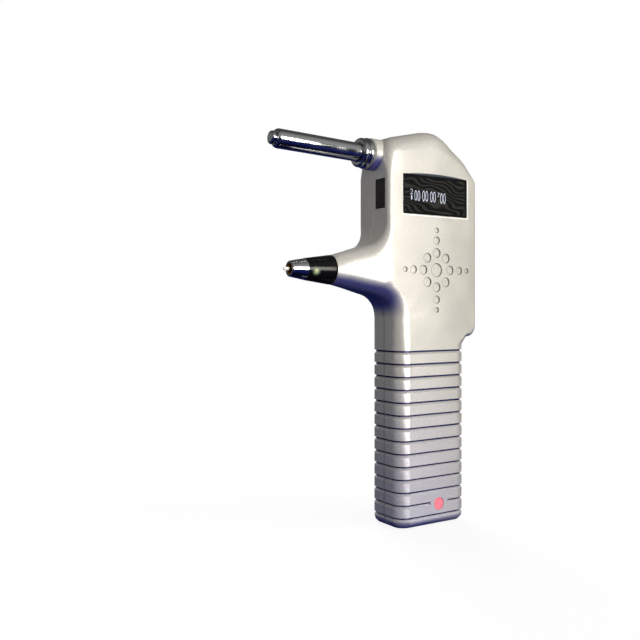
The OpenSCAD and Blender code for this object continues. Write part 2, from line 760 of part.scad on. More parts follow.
// The main board on posts of the left shell
board_y = 5;
board_x0 = -18;
board_x1 = 20;
board_above = 9;
board_below = 2.2;
board_z0 = handle_h + board_above;
board_z1 = back_top_z - board_below;
board_posts = [
    [board_x0 + post_d, board_z0 + post_d], [board_x1 - post_d, board_z0 + post_d],
    [board_x0 + post_d, board_z1 - post_d], [board_x1 - post_d, board_z1 - post_d]];
processor_w = 10;
connector_w = 8;
connector_t = 3;
module main_board() {
    color("darkgreen") {
        slab([board_x0, board_y, board_z0], [board_x1, board_y + board_t, board_z1]);
        slab([-processor_w / 2, board_y - board_t, axis_z - processor_w / 2],
             [processor_w / 2, board_y, axis_z + processor_w / 2]);
        for (z = [board_z0 + connector_t, board_z1 - 2 * connector_w])
            slab([-connector_w / 2, board_y - connector_t, z],
                 [connector_w / 2, board_y, z + connector_w / 2]);
        for (x = [board_x0 + connector_w, board_x1 - connector_w])
            along_y(board_y - connector_t, board_y, connector_t, x, window_z);
    }
}

buzzer_d = 12;
buzzer_t = 3.5;
module buzzer() {
    color("black") difference() {
        along_y(-inner_y + seat_gap, -inner_y + buzzer_t, buzzer_d, dimple_x, dimple_z);
        along_y(-inner_y - over, -inner_y + buzzer_t / 2, buzzer_d / 5, dimple_x, dimple_z);
    }
}

// The nose: a black sleeve in the horn, a chrome ring in the sleeve and a brass bush in the ring
spigot_d = 11;
spigot_len = 6.4;
sleeve_edge = 0.5;
ring_spigot_d = 8;
ring_spigot_len = 5.5;
tube_d = 2.6;
tube_bore_d = probe_d + 2 * seat_gap;
module nose_sleeve() {
    color([0.08, 0.08, 0.09]) difference() {
        turned_nose([
            [tube_d / 2 + seat_gap, -spigot_len], [spigot_d / 2, -spigot_len],
            [spigot_d / 2, seat_gap], [horn_r - sleeve_edge / 2, seat_gap],
            [horn_r, sleeve_edge], [horn_r, 2 * sleeve_edge],
            [sleeve_d / 2, sleeve_len], [ring_spigot_d / 2 + seat_gap, sleeve_len],
            [ring_spigot_d / 2 + seat_gap, sleeve_len - ring_spigot_len - seat_gap],
            [tube_d / 2 + seat_gap, sleeve_len - ring_spigot_len - seat_gap]]);
        at_sleeve_lamp() cylinder(d = sleeve_lamp_d + 2 * seat_gap, h = sleeve_lamp_h + over);
    }
}

// A small domed lamp let into the near side of the sleeve
sleeve_lamp_d = 2;
sleeve_lamp_h = 0.9;
sleeve_lamp_sink = 0.6;
sleeve_lamp_ahead = 11.8;
sleeve_lamp_angle = 10;
module at_sleeve_lamp() {
    r = mix(horn_r, sleeve_d / 2, sleeve_lamp_ahead / sleeve_len);
    translate([-horn_x - sleeve_lamp_ahead, 0, axis_z]) rotate([90 + sleeve_lamp_angle, 0, 0])
        translate([0, 0, r - sleeve_lamp_sink]) children();
}
module sleeve_lamp() {
    color("palegreen") at_sleeve_lamp() intersection() {
        translate([0, 0, seat_gap]) cylinder(d = sleeve_lamp_d, h = sleeve_lamp_h);
        translate([0, 0, sleeve_lamp_h - sleeve_lamp_d]) sphere(sleeve_lamp_d);
    }
}

nose_edge = 0.7;
bush_wall = 0.5;
bush_depth = 4.5;
bush_back = 0.3;
mouth_x = sleeve_len + nose_len;
bush_r = mouth_d / 2 + bush_wall;
module nose_ring() {
    color("lightsteelblue") turned_nose([
        [tube_d / 2 + seat_gap, sleeve_len - ring_spigot_len],
        [ring_spigot_d / 2, sleeve_len - ring_spigot_len],
        [ring_spigot_d / 2, sleeve_len + seat_gap],
        [sleeve_d / 2 - seat_gap, sleeve_len + seat_gap],
        [nose_d / 2, mouth_x - nose_edge], [nose_d / 2 - nose_edge / 3, mouth_x - nose_edge / 3],
        [nose_d / 2 - nose_edge, mouth_x], [bush_r + seat_gap, mouth_x],
        [bush_r + seat_gap, mouth_x - bush_depth - bush_back],
        [tube_d / 2 + seat_gap, mouth_x - bush_depth - bush_back]]);
}

module mouth_bush() {
    color("peru") turned_nose([
        [tube_d / 2 + seat_gap, mouth_x - bush_depth - bush_back + seat_gap],
        [bush_r, mouth_x - bush_depth - bush_back + seat_gap], [bush_r, mouth_x - bush_back],
        [mouth_d / 2, mouth_x - bush_back], [tube_d / 2 + seat_gap, mouth_x - bush_depth]]);
}

// The guide tube runs from the mouth through the coils to the carrier
carrier_ahead = 1;
carrier_x = -inner_front - carrier_ahead;
carrier_t = 3;
module guide_tube() {
    color("khaki") difference() {
        along_x(-horn_x - mouth_x + bush_depth, carrier_x + carrier_t, tube_d);
        along_x(-horn_x - mouth_x, carrier_x + carrier_t + over, tube_bore_d);
    }
}

bobbin_d = 4.2;
bobbin_flange_d = 10;
bobbin_flange_t = 1;
bobbin_x0 = -horn_x + spigot_len + seat_gap;
bobbin_x1 = carrier_x - seat_gap;
bobbin_mid = (bobbin_x0 + bobbin_x1) / 2;
drive_coil_d = 9;
sense_coil_d = 7.5;
module coil_bobbin() {
    color("ivory") difference() {
        union() {
            along_x(bobbin_x0, carrier_x + carrier_t - seat_gap, bobbin_d);
            for (x = [bobbin_x0, bobbin_mid, bobbin_x1 - bobbin_flange_t])
                along_x(x, x + bobbin_flange_t, bobbin_flange_d);
        }
        along_x(bobbin_x0 - over, carrier_x + carrier_t + over, tube_d + 2 * seat_gap);
    }
}

module winding(x0, x1, d) {
    color("sienna") difference() {
        along_x(x0 + seat_gap, x1 - seat_gap, d);
        along_x(x0, x1, bobbin_d + 2 * seat_gap);
    }
}
module drive_coil() {
    winding(bobbin_x0 + bobbin_flange_t, bobbin_mid, drive_coil_d);
}
module sense_coil() {
    winding(bobbin_mid + bobbin_flange_t, bobbin_x1 - bobbin_flange_t, sense_coil_d);
}

carrier_h = 16;
carrier_gap = 0.5;
carrier_edge_r = 5;
module coil_carrier() {
    color("slategray") difference() {
        thick_x(carrier_x, carrier_x + carrier_t) translate([0, axis_z])
            rounded(2 * (inner_y - relief - carrier_gap), carrier_h, carrier_edge_r);
        along_x(carrier_x - over, carrier_x + carrier_t + over, bobbin_d + 2 * seat_gap);
    }
}

// The probe: a steel wire with a rounded plastic tip. The wire's back end stays in the drive
// coil when the probe is thrown forward
probe_hold = 3;
tip_len = 3;
probe_front = -horn_x - mouth_x - probe_out;
module probe_wire() {
    color("silver")
        along_x(probe_front + tip_len, bobbin_x0 + probe_travel + probe_hold, probe_d);
}
module probe_tip() {
    color("white") {
        along_x(probe_front + tip_d / 2, probe_front + tip_len, tip_d);
        translate([probe_front + tip_d / 2, 0, axis_z]) sphere(d = tip_d);
    }
}

// The forehead rod, its end knob and the ring that stops it sliding out
rod_edge = 1.6;
knob_d = 6.8;
knob_neck_d = 5.4;
knob_len = 2.6;
knob_neck = 0.7;
knob_edge = 0.8;
stop_d = 12;
stop_t = 1.6;
stop_gap = 1;
stop_s = bush_len - boss_out + rod_pull + stop_gap;
module forehead_rod() {
    color("lightsteelblue") on_rod() rotate_extrude() polygon([
        [0, -rod_out], [rod_d / 2 - rod_edge, -rod_out],
        [rod_d / 2 - rod_edge / 3, -rod_out + rod_edge / 3], [rod_d / 2, -rod_out + rod_edge],
        [rod_d / 2, stop_s], [rod_d / 2 - stop_t / 2, stop_s],
        [rod_d / 2 - stop_t / 2, stop_s + stop_t], [rod_d / 2, stop_s + stop_t],
        [rod_d / 2, stop_s + 2 * stop_t], [0, stop_s + 2 * stop_t]]);
}
module rod_end_knob() {
    color("lightsteelblue") on_rod() translate([0, 0, -rod_out]) mirror([0, 0, 1])
        rotate_extrude() polygon([
            [0, 0], [knob_neck_d / 2, 0], [knob_neck_d / 2, knob_neck],
            [knob_d / 2 - knob_edge / 3, knob_neck],
            [knob_d / 2, knob_neck + knob_edge / 2], [knob_d / 2, knob_len - knob_edge],
            [knob_d / 2 - knob_edge, knob_len], [0, knob_len]]);
}
module rod_stop_ring() {
    color("dimgray") on_rod() translate([0, 0, stop_s + seat_gap]) difference() {
        cylinder(d = stop_d, h = stop_t - 2 * seat_gap);
        translate([0, 0, -over]) cylinder(d = rod_d - stop_t + 2 * seat_gap, h = stop_t + 2 * over);
    }
}

// The chrome collar: two beads, turned round the rod in front of the boss
collar_d = 16.2;
collar_front_d = 15.4;
collar_len = 6.2;
collar_waist_d = 13.4;
collar_gap = 0.5;
bead = 2.6;
module collar_bead(d, s) {
    translate([0, 0, s]) rotate_extrude() intersection() {
        translate([d / 2 - bead / 2, 0]) circle(d = bead);
        square([d, bead], center = true);
    }
}
module rod_collar() {
    s0 = -boss_out - seat_gap;
    color("lightsteelblue") on_rod() difference() {
        union() {
            translate([0, 0, s0 - collar_gap]) cylinder(d = collar_waist_d, h = collar_gap);
            translate([0, 0, s0 - collar_len]) cylinder(d = collar_waist_d, h = collar_len);
            collar_bead(collar_d, s0 - collar_gap - bead / 2);
            collar_bead(collar_front_d, s0 - collar_len + bead / 2);
        }
        translate([0, 0, s0 - collar_len - over])
            cylinder(d = rod_d + 2 * free_gap, h = collar_len + 2 * over);
        translate([0, 0, s0 - collar_len + bead])
            cylinder(d = bush_nose_d + 2 * seat_gap, h = collar_len);
    }
}

bush_nose_d = 12;
bush_nose = 2;
module rod_bush() {
    color("whitesmoke") on_rod() difference() {
        union() {
            translate([0, 0, -boss_out + seat_gap]) cylinder(d = bush_d, h = bush_len);
            translate([0, 0, -boss_out - bush_nose])
                cylinder(d = bush_nose_d, h = bush_nose + over);
        }
        translate([0, 0, -boss_out - bush_nose - over])
            cylinder(d = rod_d + 2 * seat_gap, h = bush_len + 3 * over + bush_nose);
    }
}

ring_t = 1;
module rod_o_ring() {
    s = -boss_out - bush_nose - seat_gap - ring_t / 2;
    color([0.1, 0.1, 0.1]) on_rod() translate([0, 0, s]) rotate_extrude()
        translate([rod_d / 2 + seat_gap + ring_t / 2, 0]) circle(d = ring_t - seat_gap);
}

// The control panel on the back, its board and its three buttons
panel_r = 2;
panel_proud = 0.4;
flange_t = 1;
flange_over = 0.9;
panel_x = head_back + panel_proud;
flange_x = inner_back - seat_gap;
button_depth = 6.3;
button_board_x = inner_back - button_depth;
switch_t = 0.5;
switch_d = 5;
panel_post_d = 3;
panel_mid = panel_z + panel_h / 2;
cap_flange_t = 1;
cap_flange_over = 1.2;
cap_dish = 0.5;

// The three caps stand evenly in the panel's height, with the same gap beside each flange
key_gap = (panel_h - measure_d - 2 * select_d - 6 * cap_flange_over) / 4;
measure_z = panel_z + key_gap + cap_flange_over + measure_d / 2;
select_low_z = measure_z + (measure_d + select_d) / 2 + 2 * cap_flange_over + key_gap;
select_high_z = select_low_z + select_d + 2 * cap_flange_over + key_gap;
buttons = [[measure_z, measure_d], [select_low_z, select_d], [select_high_z, select_d]];
button_board_over = 3.5;
button_board_z0 = measure_z - measure_d / 2 - button_board_over;
button_board_z1 = select_high_z + select_d / 2 + button_board_over;
module rear_panel() {
    color("darkgray") difference() {
        union() {
            thick_x(flange_x, panel_x) translate([0, panel_mid])
                rounded(panel_w, panel_h, panel_r - seat_gap);
            thick_x(flange_x - flange_t, flange_x) translate([0, panel_mid])
                rounded(panel_w + 2 * flange_over, panel_h + 2 * flange_over, panel_r);
            for (side = [-1, 1], z = [button_board_z0 + panel_post_d / 2, select_high_z])
                along_x(button_board_x + board_t, flange_x, panel_post_d,
                        side * (panel_w - panel_post_d) / 2, z);
        }
        for (b = buttons)
            along_x(flange_x - flange_t - over, panel_x + over, b[1] + 2 * free_gap, 0, b[0]);
    }
}

module button_board() {
    color("seagreen") {
        slab([button_board_x, -panel_w / 2, button_board_z0],
             [button_board_x + board_t, panel_w / 2, button_board_z1]);
        for (b = buttons)
            along_x(button_board_x + board_t / 2, button_board_x + board_t + switch_t, switch_d,
                    0, b[0]);
    }
}

module button_cap(z, d) {
    back = flange_x - flange_t - free_gap;
    foot = button_board_x + board_t + switch_t + button_travel + seat_gap;
    dish_r = d * d / (8 * cap_dish);
    difference() {
        union() {
            along_x(back, panel_x, d, 0, z);
            along_x(back - cap_flange_t, back, d + 2 * cap_flange_over, 0, z);
            along_x(foot, back, switch_d - cap_flange_over, 0, z);
        }
        translate([panel_x + dish_r - cap_dish / 2, 0, z]) sphere(dish_r, $fn = 90);
    }
}
module measure_button() {
    color("dimgray") button_cap(measure_z, measure_d);
}
module select_button_lower() {
    color("dimgray") button_cap(select_low_z, select_d);
}
module select_button_upper() {
    color("dimgray") button_cap(select_high_z, select_d);
}

right_housing();
left_housing();
housing_screws();
display_window();
display_module();
sensor_window();
sensor_board();
charge_lens();
charge_board();
charge_socket();
battery_cell();
battery_cradle();
battery_contacts();
main_board();
buzzer();
nose_sleeve();
sleeve_lamp();
nose_ring();
mouth_bush();
guide_tube();
coil_bobbin();
drive_coil();
sense_coil();
coil_carrier();
probe_wire();
probe_tip();
forehead_rod();
rod_end_knob();
rod_stop_ring();
rod_collar();
rod_bush();
rod_o_ring();
rear_panel();
button_board();
measure_button();
select_button_upper();
select_button_lower();
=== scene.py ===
# Hand-held rebound tonometer: looks and studio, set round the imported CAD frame
import math

import bpy
from mathutils import Matrix, Vector


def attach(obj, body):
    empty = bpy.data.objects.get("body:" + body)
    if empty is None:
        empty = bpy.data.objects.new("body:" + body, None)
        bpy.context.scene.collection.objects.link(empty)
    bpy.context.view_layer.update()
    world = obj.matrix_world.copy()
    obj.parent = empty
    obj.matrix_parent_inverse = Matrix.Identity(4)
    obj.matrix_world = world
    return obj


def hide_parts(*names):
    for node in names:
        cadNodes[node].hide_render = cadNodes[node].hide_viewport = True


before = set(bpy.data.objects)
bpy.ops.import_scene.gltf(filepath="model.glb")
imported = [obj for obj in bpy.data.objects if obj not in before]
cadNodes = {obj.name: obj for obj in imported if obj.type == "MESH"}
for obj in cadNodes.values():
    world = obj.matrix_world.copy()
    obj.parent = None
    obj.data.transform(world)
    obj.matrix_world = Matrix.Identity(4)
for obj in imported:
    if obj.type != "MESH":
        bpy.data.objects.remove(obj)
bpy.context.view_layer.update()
mm = 0.001
print("frame loaded:", len(cadNodes), "nodes")


# a colour such as "#c0c0c0" as linear red, green, blue and alpha, by the sRGB curve
def toLinear(hexColour):
    values = [int(hexColour[i:i + 2], 16) / 255 for i in (1, 3, 5)]
    return [c / 12.92 if c <= 0.04045 else ((c + 0.055) / 1.055) ** 2.4 for c in values] + [1.0]


# adds one node with its inputs, the stops of its ramp and its settings; an input is a number,
# a colour, another node's output, or a node, whose first live output is then linked
def addNode(tree, kind, inputs=None, stops=(), **settings):
    node = tree.nodes.new(kind)
    for key, value in settings.items():
        setattr(node, key, value)
    for key, value in (inputs or {}).items():
        if isinstance(value, bpy.types.Node):
            value = next(output for output in value.outputs if output.enabled)
        if isinstance(value, bpy.types.NodeSocket):
            tree.links.new(value, node.inputs[key])
        elif isinstance(value, str):
            node.inputs[key].default_value = toLinear(value)
        else:
            node.inputs[key].default_value = value
    if stops:
        elements = node.color_ramp.elements
        elements.remove(elements[-1])
        elements[0].position, elements[0].color = stops[0][0], toLinear(stops[0][1])
        for position, colour in stops[1:]:
            elements.new(position).color = toLinear(colour)
    return node


def startMaterial(name):
    material = bpy.data.materials.new(name)
    material.use_nodes = True
    tree = material.node_tree
    tree.nodes.clear()
    output = addNode(tree, "ShaderNodeOutputMaterial")
    place = addNode(tree, "ShaderNodeTexCoord").outputs["Object"]
    return material, tree, output, place


# how near two points merge, in a copy and at a turned piece's closed end
merging = {"near": 0.002, "cap": 0.03}
turning = {"segments": 96, "leastRadius": 0.01, "bevelSegments": 3, "bevelAngle": 28,
           "smoothAngle": 35}


def activate(piece):
    bpy.ops.object.select_all(action="DESELECT")
    piece.select_set(True)
    bpy.context.view_layer.objects.active = piece


def applyModifiers(piece):
    activate(piece)
    for modifier in list(piece.modifiers):
        bpy.ops.object.modifier_apply(modifier=modifier.name)


# a merged copy of a CAD node, so that it can be shaded smooth
def mergedCopy(nodeName, pieceName, smoothAngle):
    piece = bpy.data.objects.new(pieceName, cadNodes[nodeName].data.copy())
    bpy.context.scene.collection.objects.link(piece)
    activate(piece)
    bpy.ops.object.mode_set(mode="EDIT")
    bpy.ops.mesh.select_all(action="SELECT")
    bpy.ops.mesh.remove_doubles(threshold=merging["near"] * mm)
    bpy.ops.object.mode_set(mode="OBJECT")
    bpy.ops.mesh.customdata_custom_splitnormals_clear()
    bpy.ops.object.shade_smooth_by_angle(angle=math.radians(smoothAngle))
    return piece


def finishPiece(piece, nodeNames, body, material):
    piece.data.materials.clear()
    piece.data.materials.append(material)
    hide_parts(*nodeNames)
    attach(piece, body)


# a round piece, extruded ring by ring along +Z from a profile of (radius, along) in mm
def turnedPiece(name, profile, bevel=0.0):
    rings = [(max(radius, turning["leastRadius"]), along) for radius, along in profile]
    radius, along = rings[0]
    bpy.ops.object.select_all(action="DESELECT")
    bpy.ops.mesh.primitive_circle_add(vertices=turning["segments"], radius=radius * mm,
                                      location=(0, 0, along * mm), fill_type="NOTHING")
    piece = bpy.context.object
    piece.name = name
    bpy.ops.object.transform_apply(location=True, rotation=True, scale=True)
    bpy.ops.object.mode_set(mode="EDIT")
    bpy.ops.mesh.select_all(action="SELECT")
    for nextRadius, nextAlong in rings[1:]:
        bpy.ops.mesh.extrude_region_move(
            TRANSFORM_OT_translate={"value": (0, 0, (nextAlong - along) * mm)})
        ratio = nextRadius / radius
        bpy.ops.transform.resize(value=(ratio, ratio, 1), center_override=(0, 0, nextAlong * mm))
        radius, along = nextRadius, nextAlong
    near = merging["cap"] if profile[0][0] == 0 else merging["near"]
    bpy.ops.mesh.select_all(action="SELECT")
    bpy.ops.mesh.remove_doubles(threshold=near * mm)
    bpy.ops.mesh.select_all(action="SELECT")
    bpy.ops.mesh.normals_make_consistent(inside=False)
    bpy.ops.object.mode_set(mode="OBJECT")
    if bevel:
        modifier = piece.modifiers.new("edge", "BEVEL")
        modifier.width, modifier.segments = bevel * mm, turning["bevelSegments"]
        modifier.limit_method = "ANGLE"
        modifier.angle_limit = math.radians(turning["bevelAngle"])
        applyModifiers(piece)
    bpy.ops.object.shade_smooth_by_angle(angle=math.radians(turning["smoothAngle"]))
    return piece


# moves a finished piece's mesh from its own axis to its place, so its object stays at the origin
def placeMesh(piece, matrix):
    activate(piece)
    piece.matrix_world = matrix
    bpy.ops.object.transform_apply(location=True, rotation=True, scale=True)


def turnAbout(degrees, axis):
    return Matrix.Rotation(math.radians(degrees), 4, axis)


# the camera: a level lens at the photograph's turn and height
camera = {"place": (-277.93, -338.58, 117.0), "turn": -32.3, "pixels": 790.0, "horizon": 307.0,
          "picture": 640, "sensor": 36.0, "clip": (0.01, 20)}
cameraData = bpy.data.cameras.new("viewCamera")
cameraData.sensor_width = camera["sensor"]
cameraData.lens = camera["pixels"] / camera["picture"] * camera["sensor"]
cameraData.shift_y = (camera["horizon"] - camera["picture"] / 2) / camera["picture"]
cameraData.clip_start, cameraData.clip_end = camera["clip"]
cameraObject = bpy.data.objects.new("viewCamera", cameraData)
cameraObject.location = Vector(camera["place"]) * mm
cameraObject.rotation_euler = (math.radians(90), 0, math.radians(camera["turn"]))
bpy.context.scene.collection.objects.link(cameraObject)
bpy.context.scene.camera = cameraObject
print("camera placed")


# the flat right side of the body, and the middle of the charge lens in it
sideFace = -13.5
lensMiddle = (3.3, -13.3, 11.3)


# 1 where every test holds; a test is an operation and its values, in metres
def allHold(tree, tests):
    mask = None
    for operation, *values in tests:
        test = addNode(tree, "ShaderNodeMath", dict(enumerate(values)), operation=operation)
        mask = test if mask is None else addNode(tree, "ShaderNodeMath", {0: mask, 1: test},
                                                 operation="MULTIPLY")
    return mask


# painted navy shade on the floor of each grip groove, left out on the flat pad round the lens
grooveShade = {"colour": "#23265a", "low": 5.25, "pitch": 6.75, "high": 0.97, "bottom": 4.75,
          "top": 95.0, "pad": lensMiddle, "padHalf": (6.0, 3.0)}


# painted shade: navy bands in the groove floors
def grooveShadeMask(tree, place):
    axes = addNode(tree, "ShaderNodeSeparateXYZ", {"Vector": place}).outputs
    fromFirst = addNode(tree, "ShaderNodeMath", {0: axes["Z"], 1: grooveShade["low"] * mm},
                        operation="SUBTRACT")
    turns = addNode(tree, "ShaderNodeMath", {0: fromFirst, 1: 1 / (grooveShade["pitch"] * mm)},
                    operation="MULTIPLY")
    within = addNode(tree, "ShaderNodeMath", {0: turns}, operation="FRACT")
    padX, padY, padZ = (value * mm for value in grooveShade["pad"])
    halfX, halfZ = (value * mm for value in grooveShade["padHalf"])
    pad = allHold(tree, [("COMPARE", axes["X"], padX, halfX), ("LESS_THAN", axes["Y"], padY),
                         ("COMPARE", axes["Z"], padZ, halfZ)])
    return allHold(tree, [("LESS_THAN", within, grooveShade["high"] / grooveShade["pitch"]),
                          ("LESS_THAN", axes["Z"], grooveShade["top"] * mm),
                          ("GREATER_THAN", axes["Z"], grooveShade["bottom"] * mm),
                          ("SUBTRACT", 1.0, pad)])


# painted shade on the sunken slope above the display window, which faces down out of the light
scoopShade = {"colour": "#4d525c", "half": 23.5, "low": 186.7, "top": 188.4, "outer": -13.47,
         "inner": -12.5}


# painted shade: the down-facing slope over the window is coloured dark
def scoopShadeMask(tree, place):
    axes = addNode(tree, "ShaderNodeSeparateXYZ", {"Vector": place}).outputs
    sideways = addNode(tree, "ShaderNodeMath", {0: axes["X"]}, operation="ABSOLUTE")
    return allHold(tree, [("LESS_THAN", sideways, scoopShade["half"] * mm),
                          ("GREATER_THAN", axes["Z"], scoopShade["low"] * mm),
                          ("LESS_THAN", axes["Z"], scoopShade["top"] * mm),
                          ("GREATER_THAN", axes["Y"], scoopShade["outer"] * mm),
                          ("LESS_THAN", axes["Y"], scoopShade["inner"] * mm)])


# the dimple pattern: its middle in the solid and where the photograph shows it, its scale there,
# the middle dimple's width, rings of (distance, width), the diagonal step, and the width of the
# painted shade line round each rim, whose colour is that painted shade
dimple = {"colour": "#8b877d", "middle": (3.2, 135.4), "shown": (1.75, 136.8), "grow": 0.95,
          "midWide": 7.5, "rings": [(9.7, 5.2), (16.7, 4.3), (22.5, 2.8)], "diagonal": 6.75,
          "line": 0.2, "reach": 1.6}


# the middle and the width of each dimple, round a given middle and at a given scale
def dimpleSpots(middle, grow):
    middleX, middleZ = middle
    spots = [(middleX, middleZ, dimple["midWide"] * grow)]
    for stepX, stepZ in ((1, 0), (0, 1), (-1, 0), (0, -1)):
        for reach, wide in dimple["rings"]:
            spots.append((middleX + stepX * reach * grow, middleZ + stepZ * reach * grow,
                          wide * grow))
        spots.append((middleX + (stepX - stepZ) * dimple["diagonal"] * grow,
                      middleZ + (stepX + stepZ) * dimple["diagonal"] * grow,
                      dimple["rings"][0][1] * grow))
    return spots


# painted shade: a thin darker ring round the rim of each dimple
def dimpleRimShadeMask(tree, place):
    axes = addNode(tree, "ShaderNodeSeparateXYZ", {"Vector": place}).outputs
    flat = addNode(tree, "ShaderNodeCombineXYZ", {"X": axes["X"], "Z": axes["Z"]})
    total = 0.0
    for spotX, spotZ, wide in dimpleSpots(dimple["shown"], dimple["grow"]):
        away = addNode(tree, "ShaderNodeVectorMath", {0: flat, 1: (spotX * mm, 0, spotZ * mm)},
                       operation="DISTANCE")
        line = addNode(tree, "ShaderNodeMath", {0: away, 1: wide / 2 * mm,
                                                2: dimple["line"] * mm}, operation="COMPARE")
        total = addNode(tree, "ShaderNodeMath", {0: line, 1: total}, operation="MAXIMUM")
    side = addNode(tree, "ShaderNodeMath", {0: axes["Y"], 1: sideFace * mm,
                                            2: dimple["reach"] * mm}, operation="COMPARE")
    return addNode(tree, "ShaderNodeMath", {0: total, 1: side}, operation="MULTIPLY")


# a painted highlight line round the display window, left out along its top
windowEdgeHighlight = {"colour": "#ffffff", "middle": (1.45, 176.2), "half": (22.5, 10.75), "line": 0.3,
              "top": 186.6, "reach": 0.5, "weight": 0.8}


# painted highlight: white along the window pocket's edge
def windowEdgeHighlightMask(tree, place):
    axes = addNode(tree, "ShaderNodeSeparateXYZ", {"Vector": place}).outputs
    spans = []
    for axis, middle, half in zip("XZ", windowEdgeHighlight["middle"], windowEdgeHighlight["half"]):
        offset = addNode(tree, "ShaderNodeMath", {0: axes[axis], 1: middle * mm},
                         operation="SUBTRACT")
        span = addNode(tree, "ShaderNodeMath", {0: offset}, operation="ABSOLUTE")
        spans.append(addNode(tree, "ShaderNodeMath", {0: span, 1: half * mm},
                             operation="SUBTRACT"))
    outside = addNode(tree, "ShaderNodeMath", {0: spans[0], 1: spans[1]}, operation="MAXIMUM")
    line = allHold(tree, [("COMPARE", outside, 0.0, windowEdgeHighlight["line"] * mm),
                          ("COMPARE", axes["Y"], sideFace * mm, windowEdgeHighlight["reach"] * mm),
                          ("LESS_THAN", axes["Z"], windowEdgeHighlight["top"] * mm)])
    return addNode(tree, "ShaderNodeMath", {0: line, 1: windowEdgeHighlight["weight"]},
                   operation="MULTIPLY")


# painted shade in the parting line's groove, dark on the handle and fading out below the head
seamShade = {"colour": "#3c3e4a", "half": 0.28, "fadeLow": 115.0, "fadeTop": 150.0, "weight": 0.75}


# painted shade: a dark line where the two shells meet
def seamShadeMask(tree, place):
    axes = addNode(tree, "ShaderNodeSeparateXYZ", {"Vector": place}).outputs
    line = addNode(tree, "ShaderNodeMath", {0: axes["Y"], 1: 0.0, 2: seamShade["half"] * mm},
                   operation="COMPARE")
    fade = addNode(tree, "ShaderNodeMapRange", {
        "Value": axes["Z"], "From Min": seamShade["fadeLow"] * mm, "From Max": seamShade["fadeTop"] * mm,
        "To Min": seamShade["weight"], "To Max": 0.0})
    return addNode(tree, "ShaderNodeMath", {0: line, 1: fade}, operation="MULTIPLY")


# painted reflection of a navy floor, with painted shade, where the surface faces down: from the
# upward part of its normal that starts it to the part that has it in full
undersideReflection = {"colour": "#262e92", "starts": -0.02, "full": -0.62, "weight": 0.9}


# painted reflection and shade: navy by how far the normal points down
def undersideReflectionMask(tree):
    facing = addNode(tree, "ShaderNodeTexCoord").outputs["Normal"]
    upward = addNode(tree, "ShaderNodeSeparateXYZ", {"Vector": facing}).outputs["Z"]
    return addNode(tree, "ShaderNodeMapRange", {
        "Value": upward, "From Min": undersideReflection["starts"], "From Max": undersideReflection["full"],
        "To Min": 0.0, "To Max": undersideReflection["weight"]}, interpolation_type="SMOOTHSTEP")


# painted shade: a little darker and greyer towards the back
rearShade = {"colour": "#a8a69c", "starts": -8.0, "full": 28.0, "weight": 0.4}


# painted shade: grows from the front of the head to the back
def rearShadeMask(tree, place):
    rearward = addNode(tree, "ShaderNodeSeparateXYZ", {"Vector": place}).outputs["X"]
    return addNode(tree, "ShaderNodeMapRange", {
        "Value": rearward, "From Min": rearShade["starts"] * mm, "From Max": rearShade["full"] * mm,
        "To Min": 0.0, "To Max": rearShade["weight"]}, interpolation_type="SMOOTHSTEP")


# moulded ABS with silver lacquer: a satin sheen with fine sparkle and a trace of orange peel,
# with a painted reflection of blue surroundings towards the foot. The flakes are drawn at
# 0.4 mm, coarser than real, so that they show; the sheen varies over about 17 mm, as sprayed
# lacquer does.
silver = {"warm": "#e4e2dc", "blueReflection": "#d3d2e4", "blueReflectionTop": 100.0, "flake": 2600.0,
          "flakeStops": [(0.3, "#c8c8c8"), (0.5, "#f2f2f2"), (0.72, "#ffffff")],
          "cloud": 60.0, "smoothest": 0.32, "roughest": 0.42, "metallic": 0.45,
          "peel": 0.06, "peelDepth": 0.05, "coat": 0.2, "coatRoughness": 0.32}


